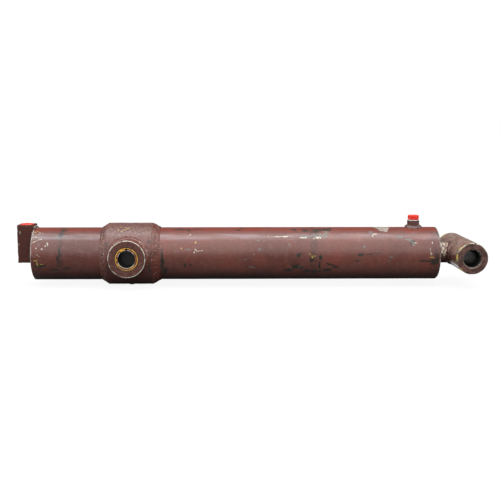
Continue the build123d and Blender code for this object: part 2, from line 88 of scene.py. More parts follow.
BLOCK_LOW, BLOCK_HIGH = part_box("port_block")
BLOCK_MIDDLE = (BLOCK_LOW + BLOCK_HIGH) / 2
BLOCK_X = BLOCK_MIDDLE.x
BASE_PLUG_LOW, BASE_PLUG_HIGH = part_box("base_port_plug")
PORT_LOW, (_, PORT_R, PORT_TOP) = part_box("gland_port_boss")
PORT_X = (PORT_LOW.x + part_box("gland_port_boss")[1].x) / 2
CAP_LOW, CAP_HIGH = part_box("gland_port_plug")

STAGE_LOW, STAGE_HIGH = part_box("stage_outer_tube")
STAGE_GLAND_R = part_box("stage_gland")[1].z
ROD_LOW, ROD_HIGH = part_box("piston_rod")
(NECK_X0, _, _), (_, _, NECK_R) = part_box("rod_neck")
EYE_LOW, EYE_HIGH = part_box("rod_eye_tube")
EYE_X = (EYE_LOW.x + EYE_HIGH.x) / 2
EYE_HALF, EYE_R = EYE_HIGH.y, EYE_HIGH.z
EYE_BORE_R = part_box("rod_eye_bush_front")[1].z

WELD_LEG = 6 * MM
SIDES = (("front", 1), ("rear", -1))
SQUARE = ((-1, -1), (1, -1), (1, 1), (-1, 1))

# ---------------------------------------------------------------- marks on the barrel
# Each is x and length along the barrel and width round it in mm, the angle above the barrel's
# front line and the turn of the mark in degrees: (x, angle, length, width, turn)
DARK_MARKS = [
    (122, 72, 32, 9, 0), (144, 69, 15, 8, -20), (164, 73, 24, 8, 0), (266, 68, 17, 7, -15),
    (276, 78, 12, 7, 0), (404, 71, 14, 11, 0), (432, 68, 18, 16, -20), (462, 66, 28, 20, 20),
    (487, 71, 26, 20, 0), (598, 6, 40, 2, 3), (727, -10, 56, 4, -2), (565, 4, 14, 9, 0),
    (558, -9, 10, 8, 30), (413, 3, 13, 10, 0), (467, -3, 9, 13, 0), (444, -8, 15, 11, -10),
    (408, -23, 32, 14, 0), (388, -32, 30, 12, 8), (434, -34, 20, 13, 0), (458, -37, 26, 8, 0),
    (465, -19, 6, 28, 0), (486, -31, 26, 11, 10), (492, -18, 22, 6, -10), (503, -25, 14, 8, 10),
    (151, -18, 8, 7, 10), (137, -20, 9, 9, 0), (82, -8, 8, 70, 0), (87, -34, 14, 22, 0),
    (695, 33, 12, 9, 0), (689, 28, 12, 5, 45), (752, -3, 8, 30, 8), (744, -12, 24, 18, 0),
    (-162, 69, 15, 14, 0), (-167, 53, 15, 18, 0), (-168, 12, 6, 22, 0), (-172, -8, 6, 26, 5),
    (-180, -30, 18, 9, 0), (-150, -26, 16, 7, 10), (-214, -20, 26, 9, 0),
]
PALE_MARKS = [
    (144, 47, 4, 4, 0), (149, 51, 4, 5, 0), (163, 15, 10, 2, -35), (169, 12, 9, 2, 25),
    (177, 13, 8, 2, 30), (160, 10, 4, 4, 0), (598, 50, 5, 12, -25), (604, 53, 7, 4, 20),
    (741, 30, 3, 7, 0), (736, 8, 2, 18, 5), (700, 30, 7, 2, -30), (370, 46, 54, 3, 0),
    (427, 43, 18, 5, 0), (463, 43, 22, 6, 5), (-237, 63, 4, 5, 0), (-233, 55, 6, 3, 30),
    (-238, 43, 5, 4, 0), (-226, 47, 4, 3, 0), (-228, 34, 13, 2.5, 28), (-197, 29, 2.5, 12, 15),
    (-201, 24, 6, 2.5, -20), (-224, 19, 4, 2.5, 0), (-210, 17, 5, 2.5, -10),
    (-240, 5, 2.5, 9, 0), (-219, 58, 4, 3, 20), (-222, 5, 4, 2.5, 0), (-214, 40, 3.5, 2.5, 0),
]
YELLOW_MARKS = [
    (162, 32, 5, 5, 0), (441, 6, 4, 6, 20), (447, 0, 4, 7, 30), (454, 1, 3, 5, 0),
    (-231, 61, 4, 4, 0), (-225, 64, 4, 4, 0), (-222, -14, 3, 15, 8), (-228, -8, 8, 3, -5),
    (-211, -16, 12, 2, 0), (739, -2, 15, 2, 0), (128, 18, 4, 3, 0),
]
GREY_MARKS = [
    (314, 36, 8, 4, 0), (319, 16, 11, 6, 0), (305, 6, 14, 3, 8), (302, -24, 18, 4, -8),
    (285, -6, 10, 3, 0), (392, 26, 7, 6, 0), (414, -23, 12, 3, 0), (594, 57, 12, 12, -30),
    (-172, 44, 18, 9, 0), (574, 21, 7, 6, 0), (144, 16, 17, 4, 0), (740, 6, 9, 8, 0),
    (684, 37, 16, 6, -5), (694, 29, 7, 12, 20), (429, 45, 22, 9, 0), (467, 48, 38, 17, 0),
    (482, 55, 16, 19, 0), (660, 45, 26, 5, -5), (638, 0, 9, 7, 0), (634, -11, 2, 12, -15),
]
COLLAR_FLECKS = [
    (-26, 57, 6, 3, 25), (-17, 52, 5, 3, -15), (-11, 57, 7, 2, 10), (-3, 61, 6, 3, 0),
    (-21, 64, 4, 3, 0),
]
COLLAR_STAINS = [
    (45, -12, 12, 14, 0), (53, -22, 12, 18, 10), (56, 4, 8, 12, 0), (50, 30, 10, 8, 0),
    (-52, 22, 6, 14, 0), (-50, -18, 8, 12, 0),
]
# Rubbed bands right round the barrel: (x, width) in mm
RUBBED_BANDS = [(-165, 12), (451, 18), (637, 2.5)]
# Where a stuck-on label has come away: corners as (x, angle), the torn lower ones first
LABEL_SCAR = [(618, 61), (635, 60), (644, 84), (640, 118), (604, 118), (601, 84)]


# ---------------------------------------------------------------- colours
GAMMA = 2.2
MATT_LEVEL = 0.54  # how much the studio light brightens matt paint, undone in its tones


def srgb(red, green, blue, level=1.0):
    """Linear colour from 0-255 display values."""
    return tuple(level * (value / 255) ** GAMMA for value in (red, green, blue)) + (1.0,)


def matt(red, green, blue):
    """Linear colour of matt paint that reads as these display values under the studio light."""
    return srgb(red, green, blue, MATT_LEVEL)


OXIDE = matt(117, 64, 55)
OXIDE_DARK = matt(97, 50, 42)
OXIDE_DUSTY = matt(139, 105, 102)
OXIDE_ORANGE = matt(144, 66, 47)
# Near-black tone for grime, also laid as painted shade on downward faces and in the rod eye's bore
GRIME_AND_SHADE = matt(26, 21, 19)
DARK_GREEN = matt(32, 40, 32)
GREY_GREEN = matt(118, 127, 121)
PALE = matt(222, 216, 196)
YELLOW = matt(200, 178, 84)
BARE_STEEL = matt(186, 188, 180)
# Painted light: the deeper orange laid on the barrel's upward faces
TOP_LIGHT_ORANGE = matt(130, 47, 27)


# ---------------------------------------------------------------- shader nodes
class Nodes:
    """Short-hand for building a tree of shader nodes. Masks run from 0 to 1."""

    def __init__(self, tree):
        self.tree = tree
        tree.nodes.clear()
        coordinates = self.add("TexCoord").outputs
        self.position, self.normal = coordinates["Object"], coordinates["Normal"]
        self.direction = coordinates["Generated"]

    def add(self, kind, inputs=None, **settings):
        node = self.tree.nodes.new("ShaderNode" + kind)
        for key, value in settings.items():
            setattr(node, key, value)
        for key, value in (inputs or {}).items():
            self.feed(node.inputs[key], value)
        return node

    def feed(self, socket, value):
        if isinstance(value, bpy.types.NodeSocket):
            self.tree.links.new(value, socket)
        else:
            socket.default_value = value

    def maths(self, operation, *values):
        return self.add("Math", dict(enumerate(values)), operation=operation).outputs[0]

    def vector(self, operation, *values):
        """Vector maths; the operations that measure something give a number."""
        node = self.add("VectorMath", dict(enumerate(values)), operation=operation)
        measures = operation in ("DOT_PRODUCT", "DISTANCE", "LENGTH")
        return node.outputs["Value" if measures else "Vector"]

    def parts(self, vector):
        return self.add("SeparateXYZ", {0: vector}).outputs

    def join(self, x, y, z):
        return self.add("CombineXYZ", {0: x, 1: y, 2: z}).outputs[0]

    def noise(self, scale, detail=3.0, at=None):
        source = self.position if at is None else at
        node = self.add("TexNoise", {"Vector": source, "Scale": scale, "Detail": detail})
        return node.outputs["Fac"]

    def streaks(self, scales, detail):
        """Noise that is drawn out along the axes with a small scale."""
        return self.noise(1, detail, self.vector("MULTIPLY", self.position, scales))

    def smooth(self, value, low, high):
        """0 at low, 1 at high, with a soft step between; low may be above high."""
        limits = {"Value": value, "From Min": low, "From Max": high}
        return self.add("MapRange", limits, interpolation_type="SMOOTHSTEP").outputs[0]

    def patches(self, scale, detail, low, high):
        """Mask of scattered patches: 1 where the noise is past high."""
        return self.smooth(self.noise(scale, detail), low, high)

    def number(self, share, first, second):
        """Number that runs from first to second."""
        limits = {"Value": share, "To Min": first, "To Max": second}
        return self.add("MapRange", limits).outputs[0]

    def either(self, masks):
        """Union of several masks."""
        total = masks[0]
        for mask in masks[1:]:
            total = self.maths("MAXIMUM", total, mask)
        return total

    def outside(self, mask):
        return self.maths("SUBTRACT", 1.0, mask)

    def times(self, *values):
        total = values[0]
        for value in values[1:]:
            total = self.maths("MULTIPLY", total, value)
        return total

    def gap(self, first, second):
        return self.maths("ABSOLUTE", self.maths("SUBTRACT", first, second))

    def near(self, value, centre, half_width):
        """1 within half_width of centre, falling softly to 0."""
        return self.smooth(self.gap(value, centre), half_width * 1.3, half_width * 0.6)

    def blend(self, share, first, second):
        return self.add("MixRGB", {"Fac": share, "Color1": first, "Color2": second}).outputs[0]

    def jitter(self, size, scale):
        """Position shaken by a fine noise, which makes ragged edges."""
        source = self.add("TexNoise", {"Vector": self.position, "Scale": scale, "Detail": 3.0})
        centred = self.vector("SUBTRACT", source.outputs["Color"], (0.5, 0.5, 0.5))
        shake = self.vector("MULTIPLY", centred, (size, size, size))
        return self.vector("ADD", self.position, shake)

    def radius(self, axis, centre=(0, 0, 0), at=None):
        """Distance from a line parallel to an axis, and the place along it."""
        local = self.vector("SUBTRACT", self.position if at is None else at, centre)
        keep = {"X": (0, 1, 1), "Y": (1, 0, 1), "Z": (1, 1, 0)}[axis]
        distance = self.vector("LENGTH", self.vector("MULTIPLY", local, keep))
        return distance, self.parts(local)["XYZ".index(axis)]


class Material(Nodes):
    """One procedural material, whose colour is built up in coats."""

    def __init__(self, name):
        self.material = bpy.data.materials.new(name)
        self.material.use_nodes = True
        super().__init__(self.material.node_tree)
        self.surface = self.add("BsdfPrincipled")
        self.add("OutputMaterial", {"Surface": self.surface.outputs[0]})
        self.colour = None

    def coat(self, tone, *masks):
        """Lays a tone over the colour so far, where all the masks are."""
        self.colour = self.blend(self.times(*masks), self.colour, tone)

    def finish(self, roughness, metallic=0.0, bumps=(), **extra):
        """Feeds the surface. bumps holds (height, depth in mm) pairs, coarsest first."""
        self.feed(self.surface.inputs["Base Color"], self.colour)
        self.feed(self.surface.inputs["Roughness"], roughness)
        self.feed(self.surface.inputs["Metallic"], metallic)
        for key, value in extra.items():
            self.feed(self.surface.inputs[key.replace("_", " ")], value)
        normal = None
        for height, depth in bumps:
            bump = self.add("Bump", {"Height": height, "Distance": depth * MM})
            if normal is not None:
                self.feed(bump.inputs["Normal"], normal)
            normal = bump.outputs[0]
        if normal is not None:
            self.feed(self.surface.inputs["Normal"], normal)
        return self.material


# ---------------------------------------------------------------- worn paint
def oxide_coat(n, grain=1.0, orange=0.35):
    """Faded red-oxide colour with fine mottling, and painted shade where the surface faces down.
    """
    n.colour = n.blend(n.patches(6, 4, 0.35, 0.65), OXIDE_DARK, OXIDE)
    rust = n.patches(17, 5, 0.62 - 0.4 * orange, 0.85 - 0.4 * orange)
    n.coat(OXIDE_ORANGE, rust, min(1.0, 1.3 * orange))
    n.coat(OXIDE_DUSTY, n.patches(90, 5, 0.45, 0.75), 0.3 * grain)
    n.coat(PALE, n.patches(450, 2, 0.64, 0.74), 0.22 * grain)
    up = n.parts(n.normal)[2]
    # Painted shade: darker where the surface faces down
    under = n.smooth(n.maths("ADD", up, n.times(n.noise(14, 4), 0.3)), -0.1, -0.85)
    n.coat(GRIME_AND_SHADE, under, 0.8)


def oxide_roughness(n):
    return n.number(n.noise(38, 4), 0.24, 0.4)


def flaked(n, share, scale, soft=0.05):
    """Scattered flakes where paint has come away; share is about how much of it is gone."""
    low = 0.66 - 0.3 * share
    return n.patches(scale, 5, low, low + soft)


def unrolled(n, position):
    """A place on the barrel's skin, laid flat: along it, and round it from its front line up."""
    x, y, z = n.parts(position)
    angle = n.maths("ARCTAN2", z, n.maths("MULTIPLY", y, -1))
    return n.join(x, n.maths("MULTIPLY", angle, BARREL_R), 0)


def on_skin(x, angle):
    """The same place from x in mm and an angle in degrees."""
    return np.array([x * MM, math.radians(angle) * BARREL_R, 0])


def marks_mask(n, flat, marks, ragged):
    """Ragged ovals on the unrolled barrel: 1 inside them, and broken up towards their edges."""
    nearest = 9.0
    for x, angle, length, width, turn in marks:
        middle = on_skin(x, angle)
        cos, sin = math.cos(math.radians(turn)), math.sin(math.radians(turn))
        along = np.array([cos, sin, 0]) * 2 / (length * MM)
        across = np.array([-sin, cos, 0]) * 2 / (width * MM)
        oval = n.join(*(n.vector("DOT_PRODUCT", flat, way) for way in (along, across)), 0)
        centre = (along @ middle, across @ middle, 0)
        nearest = n.maths("MINIMUM", nearest, n.vector("DISTANCE", oval, centre))
    torn = n.times(n.maths("SUBTRACT", n.noise(210, 5), 0.5), 2 * ragged)
    return n.smooth(n.maths("ADD", nearest, torn), 1.02, 0.8)


def inside_outline(n, flat, corners):
    """1 inside a convex outline of (x, angle) corners on the unrolled barrel, with a soft edge."""
    points = [on_skin(*corner) for corner in corners]
    depth = 9.0
    for start, end in zip(points, points[1:] + points[:1]):
        inward = np.array([start[1] - end[1], end[0] - start[0], 0]) / np.linalg.norm(end - start)
        level = n.vector("DOT_PRODUCT", flat, inward)
        depth = n.maths("MINIMUM", depth, n.maths("SUBTRACT", level, float(inward @ start)))
    return n.smooth(depth, -0.6 * MM, 3 * MM)


def rim_mask(n, radius, along, rim_radius, rim_along, width):
    """Worn line on a turned edge, as wide as width and ragged."""
    off = n.either([n.gap(radius, rim_radius), n.gap(n.maths("ABSOLUTE", along), rim_along)])
    return n.smooth(n.maths("ADD", off, n.times(n.noise(90, 4), width)), width * 1.6, width * 0.9)


def barrel_paint():
    n = Material("barrel_paint")
    oxide_coat(n, 0.8)
    flat = unrolled(n, n.jitter(5 * MM, 130))
    x, round_it, _ = n.parts(flat)
    _, facing_back, facing_up = n.parts(n.normal)
    broken = n.patches(190, 5, 0.36, 0.54)
    # Painted light: surfaces facing up get a deeper orange, for how the top of the barrel reads
    # under the overhead light
    top = n.smooth(facing_up, 0.84, 0.95)
    n.coat(TOP_LIGHT_ORANGE, top, n.number(n.patches(11, 4, 0.4, 0.6), 0.45, 0.9))

    bands = n.either([n.near(x, centre * MM, width / 2 * MM) for centre, width in RUBBED_BANDS])
    n.coat(DARK_GREEN, bands, n.number(n.patches(260, 5, 0.44, 0.56), 0.2, 1.0), 0.5)

    # Painted highlight: pale lavender streaks along the band 47 degrees up the barrel, where the
    # overhead light's highlight lies
    highlight_crest = math.radians(47) * BARREL_R
    shoulder = n.smooth(n.gap(round_it, highlight_crest), 14 * MM, 2 * MM)
    dust_and_highlight = n.smooth(n.streaks((12, 90, 90), 4), 0.46, 0.7)
    n.coat(matt(178, 174, 186), shoulder, dust_and_highlight, 0.3)

    dark = marks_mask(n, flat, DARK_MARKS, 1.7)
    n.coat(DARK_GREEN, dark, n.number(broken, 0.62, 1.0))
    grey = n.times(marks_mask(n, flat, GREY_MARKS, 1.6), n.number(broken, 0.2, 0.8))
    n.coat(GREY_GREEN, grey)
    pale = marks_mask(n, flat, PALE_MARKS, 1.7)
    n.coat(PALE, pale, n.number(broken, 0.4, 0.9))
    yellow = marks_mask(n, flat, YELLOW_MARKS, 1.0)
    n.coat(YELLOW, yellow, 0.8)

    behind = n.smooth(facing_back, 0.05, 0.4)
    n.coat(DARK_GREEN, behind, flaked(n, 0.12, 26, 0.02), n.number(broken, 0.5, 0.95))
    grazes = n.streaks((16, 95, 95), 5)
    n.coat(GREY_GREEN, behind, n.smooth(grazes, 0.63, 0.65), 0.7)

    base_end = n.near(x, BARREL_X0 + 18 * MM, 16 * MM)
    chips = n.times(base_end, flaked(n, 0.03, 190, 0.03), n.smooth(round_it, -45 * MM, -20 * MM))
    n.coat(matt(200, 192, 168), chips, 0.7)

    scar = inside_outline(n, flat, LABEL_SCAR)
    n.coat(matt(200, 192, 178), scar, n.number(n.patches(420, 5, 0.44, 0.54), 0.3, 0.95))
    n.coat(GRIME_AND_SHADE, scar, n.patches(380, 4, 0.55, 0.6), 0.7)
    torn_side = n.smooth(x, 628 * MM, 622 * MM)
    n.coat(DARK_GREEN, n.smooth(scar, 0.05, 0.4), n.smooth(scar, 0.95, 0.6), torn_side)

    # Darker streaks along the very bottom of the barrel
    underside = n.smooth(facing_up, -0.82, -0.93)
    n.coat(GRIME_AND_SHADE, underside, n.smooth(n.streaks((5, 50, 50), 4), 0.38, 0.48), 0.85)

    high = n.smooth(round_it, -25 * MM, 0)
    base_rim = n.times(n.near(x, BARREL_X0, 1.8 * MM), n.patches(48, 4, 0.36, 0.5), high)
    gland_rim = n.times(n.near(x, BARREL_X1, 2.8 * MM), n.patches(60, 4, 0.3, 0.45))
    gland_end, above = n.near(x, BARREL_X1, 7 * MM), n.smooth(round_it, 42 * MM, 56 * MM)
    n.coat(DARK_GREEN, gland_end, above, flaked(n, 0.6, 120), 0.85)
    front = n.smooth(round_it, -30 * MM, -10 * MM)
    n.coat(n.blend(front, GREY_GREEN, matt(196, 198, 188)), gland_rim, 0.7)
    n.coat(BARE_STEEL, base_rim, 0.95)

    fine = n.streaks((22, 380, 380), 4)
    n.coat(OXIDE_DUSTY, n.smooth(fine, 0.62, 0.72), 0.3)
    bare = n.either([pale, grey, n.either([base_rim, gland_rim])])
    stripped = n.times(n.either([pale, yellow, scar]), 0.8)
    bumps = [
        (n.noise(26, 3), 0.8), (fine, 0.1),
        (n.maths("SUBTRACT", n.noise(260, 4), stripped), 0.12),
    ]
    return n.finish(n.maths("ADD", oxide_roughness(n), n.times(bare, 0.2)), bumps=bumps)


def collar_paint():
    """Rough, dusty paint on the forged collar, with painted glints on its upper faces."""
    n = Material("collar_paint")
    oxide_coat(n, 1.4, 0.4)
    n.coat(OXIDE_DARK, 0.45)
    n.coat(matt(52, 32, 28), n.patches(260, 5, 0.56, 0.63), 0.6)
    flat = unrolled(n, n.jitter(4 * MM, 150))
    upper = n.smooth(n.parts(n.normal)[2], 0.2, 0.75)
    n.coat(matt(156, 136, 128), upper, n.patches(230, 5, 0.42, 0.64), 0.24)
    # Painted glints: bright specks on the upward faces
    n.coat(matt(200, 176, 170), upper, n.patches(310, 3, 0.6, 0.66), 0.4)
    stains = marks_mask(n, flat, COLLAR_STAINS, 1.7)
    n.coat(DARK_GREEN, stains, n.patches(240, 5, 0.4, 0.5), 0.75)
    n.coat(YELLOW, marks_mask(n, flat, COLLAR_FLECKS, 1.2), 0.7)
    bumps = [(n.noise(45, 4), 0.8), (n.noise(150, 4), 0.5), (n.noise(320, 5), 0.4)]
    return n.finish(n.maths("ADD", oxide_roughness(n), 0.08), bumps=bumps)


def boss_paint():
    """Fresher, more orange paint on a boss, worn bright on its rim, with grease round its bush and
    painted shade, near black, deep inside.
    """
    n = Material("boss_paint")
    oxide_coat(n, 0.5, 0.8)
    n.coat(matt(92, 40, 29), 0.65)
    radius, along = n.radius("Y", at=n.jitter(2 * MM, 200))
    depth = n.maths("SUBTRACT", BOSS_FACE, n.maths("ABSOLUTE", along))
    face = n.smooth(depth, 2 * MM, 0.5 * MM)
    tones = matt(88, 48, 40), matt(112, 70, 60)
    n.coat(n.blend(n.patches(150, 4, 0.4, 0.65), *tones), face)
    n.coat(OXIDE_DARK, face, flaked(n, 0.25, 150), 0.5)
    oily = n.smooth(n.gap(radius, BUSH_R), 3 * MM, 0.5 * MM)
    n.coat(GRIME_AND_SHADE, face, oily, 0.7)
    rim = rim_mask(n, radius, along, BOSS_R, BOSS_FACE, 1.9 * MM)
    n.coat(matt(236, 240, 224), rim, n.number(n.patches(75, 4, 0.4, 0.52), 0.25, 1.0))
    # Painted shade: near black deep inside the socket, within the bush's radius
    inside = n.smooth(radius, BUSH_R + 1 * MM, BUSH_R)
    n.coat(srgb(8, 8, 8), n.smooth(depth, 3 * MM, 8 * MM), inside)
    return n.finish(oxide_roughness(n), bumps=[(n.noise(45, 4), 0.6), (n.noise(300, 5), 0.25)])


def eye_paint():
    """Paint on the rod eye, chipped to pale and yellow layers at its rims and bare underneath,
    with painted shade in its bore.
    """
    n = Material("eye_paint")
    oxide_coat(n, 1.4, 0.3)
    radius, along = n.radius("Y", (EYE_X, 0, 0), n.jitter(5 * MM, 150))
    out = n.maths("ABSOLUTE", along)
    face = n.smooth(out, EYE_HALF - 2 * MM, EYE_HALF - 0.5 * MM)
    side = n.outside(face)
    facing_x, _, facing_up = n.parts(n.normal)

    upper = n.times(side, n.smooth(facing_up, -0.05, 0.5))
    n.coat(matt(172, 138, 126), upper, n.number(n.patches(70, 5, 0.4, 0.6), 0.25, 0.75))
    tones = matt(70, 45, 40), matt(110, 74, 66)
    n.coat(n.blend(n.patches(110, 5, 0.38, 0.62), *tones), face, 0.9)
    chips = n.times(side, flaked(n, 0.3, 150, 0.03))
    n.coat(matt(158, 154, 136), chips, 0.75)
    n.coat(matt(150, 84, 52), n.patches(80, 5, 0.54, 0.62), side, 0.6)
    n.coat(matt(44, 24, 20), n.patches(190, 4, 0.58, 0.62), side, 0.8)
    under = n.times(n.smooth(facing_up, -0.36, -0.5), n.smooth(facing_x, 0.1, -0.15))
    n.coat(srgb(250, 240, 240), under, n.patches(40, 4, 0.3, 0.38), side)

    rim = rim_mask(n, radius, along, EYE_R, EYE_HALF, 2.8 * MM)
    x, _, z = n.parts(n.position)
    left = n.smooth(x, EYE_X - 6 * MM, EYE_X - 22 * MM)
    top = n.smooth(z, 8 * MM, 26 * MM)
    near_rim = n.smooth(out, EYE_HALF - 15 * MM, EYE_HALF - 6 * MM)
    yellow = n.either([
        n.times(rim, n.patches(85, 4, 0.485, 0.52)),
        n.times(near_rim, side, n.patches(75, 4, 0.48, 0.52)),
    ])
    n.coat(PALE, rim, top, n.patches(90, 4, 0.42, 0.5))
    n.coat(YELLOW, yellow, left)
    n.coat(GREY_GREEN, rim, n.patches(50, 4, 0.56, 0.62), 0.8)

    lip = rim_mask(n, radius, along, EYE_BORE_R + 1 * MM, EYE_HALF, 1.2 * MM)
    # Worn pale lip round the bore, brightest where it faces up: wear with a painted highlight
    low = n.maths("ADD", n.times(n.smooth(facing_up, 0.3, 0.9), 0.85), 0.1)
    n.coat(matt(204, 204, 184), lip, low)
    # Painted shade in the bore
    n.coat(GRIME_AND_SHADE, n.smooth(radius, EYE_BORE_R + 0.4 * MM, EYE_BORE_R - 0.2 * MM), side, 0.9)
    bumps = [(n.noise(40, 4), 0.8), (n.maths("SUBTRACT", n.noise(280, 4), chips), 0.2)]
    return n.finish(oxide_roughness(n), bumps=bumps)


def neck_paint():
    """Paint on the rod's neck, flaked to bright metal in crumbs on its upper front."""
    n = Material("neck_paint")
    oxide_coat(n)
    n.coat(matt(96, 44, 36), 0.6)
    _, y, z = n.parts(n.jitter(3 * MM, 240))
    front = n.smooth(n.maths("SUBTRACT", z, n.times(y, 0.5)), 2 * MM, 16 * MM)
    flakes = n.times(front, n.patches(150, 5, 0.47, 0.53))
    n.coat(matt(226, 216, 196), flakes, 0.95)
    n.coat(YELLOW, front, n.patches(230, 3, 0.58, 0.62), 0.8)
    n.coat(matt(104, 26, 30), front, n.patches(190, 3, 0.55, 0.6))
    return n.finish(n.number(flakes, 0.36, 0.45), bumps=[(n.noise(60, 4), 0.6), (flakes, -0.15)])


def block_paint():
    """Darker paint on the saw-cut port block, worn at its edges and corners."""
    n = Material("block_paint")
    oxide_coat(n, 0.8)
    n.coat(matt(74, 32, 24), 0.75)
    off_centre = n.vector("ABSOLUTE", n.vector("SUBTRACT", n.position, tuple(BLOCK_MIDDLE)))
    half = tuple((BLOCK_HIGH - BLOCK_LOW) / 2)
    dx, dy, dz = n.parts(n.vector("SUBTRACT", half, off_centre))
    nearer, further = n.maths("MINIMUM", dx, dy), n.maths("MAXIMUM", dx, dy)
    edge = n.either([nearer, n.maths("MINIMUM", further, dz)])
    ragged = n.maths("ADD", edge, n.times(n.noise(85, 4), 3.4 * MM))
    n.coat(GREY_GREEN, n.smooth(ragged, 2.1 * MM, 1.5 * MM), 0.7)
    n.coat(matt(158, 154, 136), flaked(n, 0.1, 75, 0.03), 0.65)
    bumps = [(n.streaks((60, 60, 900), 2), 0.25), (n.noise(210, 4), 0.15)]
    return n.finish(n.number(n.noise(50, 3), 0.5, 0.7), bumps=bumps, Specular_IOR_Level=0.25)


def port_paint():
    """Dark paint on the gland port's boss, worn to bright steel round its top."""
    n = Material("port_paint")
    oxide_coat(n, 0.8)
    n.coat(matt(76, 34, 33), 0.75)
    z = n.parts(n.jitter(1.5 * MM, 300))[2]
    top = n.smooth(z, PORT_TOP - 1.6 * MM, PORT_TOP - 0.9 * MM)
    n.coat(matt(214, 208, 206), top, n.patches(70, 4, 0.32, 0.46))
    # Darker towards the foot of the boss, by the weld
    n.coat(GRIME_AND_SHADE, n.smooth(z, BARREL_R + 4.5 * MM, BARREL_R + 3.5 * MM), 0.6)
    return n.finish(n.number(n.noise(60, 4), 0.34, 0.5), bumps=[(n.noise(240, 4), 0.2)])


def weld_paint(name="weld_paint", orange=0.35, rust=0.0):
    """Paint over weld beads, with painted shade in their toes, a painted highlight on their
    crowns, and bright spatter spots.
    """
    n = Material(name)
    oxide_coat(n, 1.2, orange)
    n.coat(matt(104, 44, 30), rust)
    n.coat(GRIME_AND_SHADE, n.patches(220, 4, 0.55, 0.6), 0.7)
    hollow = n.add("NewGeometry").outputs["Pointiness"]
    # Painted shade in the concave toes and painted highlight on the convex crowns
    n.coat(matt(84, 30, 26), n.smooth(hollow, 0.49, 0.44))
    n.coat(OXIDE_DUSTY, n.smooth(hollow, 0.53, 0.6), 0.35)
    n.coat(PALE, n.either([n.patches(95, 3, 0.69, 0.74), n.patches(270, 3, 0.635, 0.67)]), 0.6)
    return n.finish(n.number(n.noise(120, 3), 0.28, 0.46), bumps=[(n.noise(260, 4), 0.3)])


def bright_weld():
    """Lumpy bead left almost bare, as on the port block's top."""
    n = Material("bare_weld")
    bare = n.patches(150, 4, 0.44, 0.54)
    n.colour = n.blend(bare, OXIDE_DARK, matt(158, 146, 138))
    n.coat(GRIME_AND_SHADE, n.patches(200, 3, 0.5, 0.6))
    return n.finish(0.4, n.times(bare, 0.2), [(n.noise(300, 3), 0.25)])


def painted_highlight_weld():
    """Bead with a pinkish painted highlight along its crown, over dark paint."""
    n = Material("painted_highlight_weld")
    hollow = n.add("NewGeometry").outputs["Pointiness"]
    # Painted highlight on the bead's crown, where it curves outward
    crown = n.times(n.smooth(hollow, 0.5, 0.54), n.patches(85, 4, 0.38, 0.52))
    n.colour = n.blend(crown, matt(54, 25, 20), matt(156, 112, 104))
    n.coat(GRIME_AND_SHADE, n.patches(230, 3, 0.56, 0.62), 0.6)
    return n.finish(n.number(n.noise(120, 3), 0.25, 0.4), bumps=[(n.noise(280, 4), 0.2)])


# ---------------------------------------------------------------- metal, rubber and plastic
def bronze():
    """Bearing bronze, smeared with paint on its face, with painted shade, near black, in its bore
    and on its hidden sides.
    """
    n = Material("bush_bronze")
    radius, along = n.radius("Y", at=n.jitter(1.2 * MM, 220))
    depth = n.maths("SUBTRACT", BUSH_FACE, n.maths("ABSOLUTE", along))
    face = n.smooth(depth, 2.2 * MM, 0.9 * MM)
    n.colour = n.blend(n.patches(90, 4, 0.4, 0.65), srgb(226, 172, 66), srgb(178, 132, 58))
    middle = n.near(radius, (PIN_R + BUSH_R) / 2 - 0.4 * MM, 2.4 * MM)
    smear = n.times(face, middle, n.patches(55, 4, 0.36, 0.46))
    n.coat(matt(104, 50, 40), smear)
    lip = n.times(face, n.near(radius, PIN_R + 1.6 * MM, 0.7 * MM), n.patches(60, 3, 0.42, 0.52))
    n.coat(matt(226, 214, 190), lip)
    # Painted shade: near black in the bore's mouth and off the face
    mouth = n.smooth(radius, PIN_R + 1.2 * MM, PIN_R + 0.8 * MM)
    n.coat(srgb(14, 14, 14), n.either([n.outside(face), mouth]))
    rings = n.noise(1, 2, n.join(n.times(radius, 900), 0, n.times(along, 500)))
    covered = n.times(n.either([smear, lip]), 0.75)
    metallic = n.times(face, n.maths("SUBTRACT", 0.75, covered))
    return n.finish(n.number(n.noise(150, 3), 0.34, 0.55), metallic, [(rings, 0.05)])


def turned_steel():
    """Lathe-turned steel: fine rings, uneven oil film."""
    n = Material("turned_steel")
    radius, along = n.radius("X")
    rings = n.noise(1, 2, n.join(n.times(radius, 1400), n.times(along, 700), 0))
    film = n.patches(24, 4, 0.4, 0.65)
    n.colour = srgb(168, 170, 170)
    n.coat(srgb(168, 170, 170, 0.45), film, 0.5)
    roughness = n.maths("ADD", n.number(film, 0.35, 0.21), n.times(rings, 0.12))
    return n.finish(roughness, 0.9, [(rings, 0.03)])


def hard_chrome():
    """Ground and chromed tube: nearly a mirror, with hairline scratches along it."""
    n = Material("hard_chrome")
    along = n.streaks((25, 900, 900), 3)
    scratch = n.smooth(along, 0.66, 0.72)
    film = n.patches(12, 4, 0.45, 0.7)
    n.colour = n.blend(film, srgb(222, 224, 226), srgb(186, 186, 180))
    n.coat(srgb(120, 120, 118), scratch, 0.4)
    roughness = n.maths("ADD", n.number(film, 0.08, 0.16), n.times(scratch, 0.2))
    return n.finish(roughness, 1.0, [(along, 0.004)])


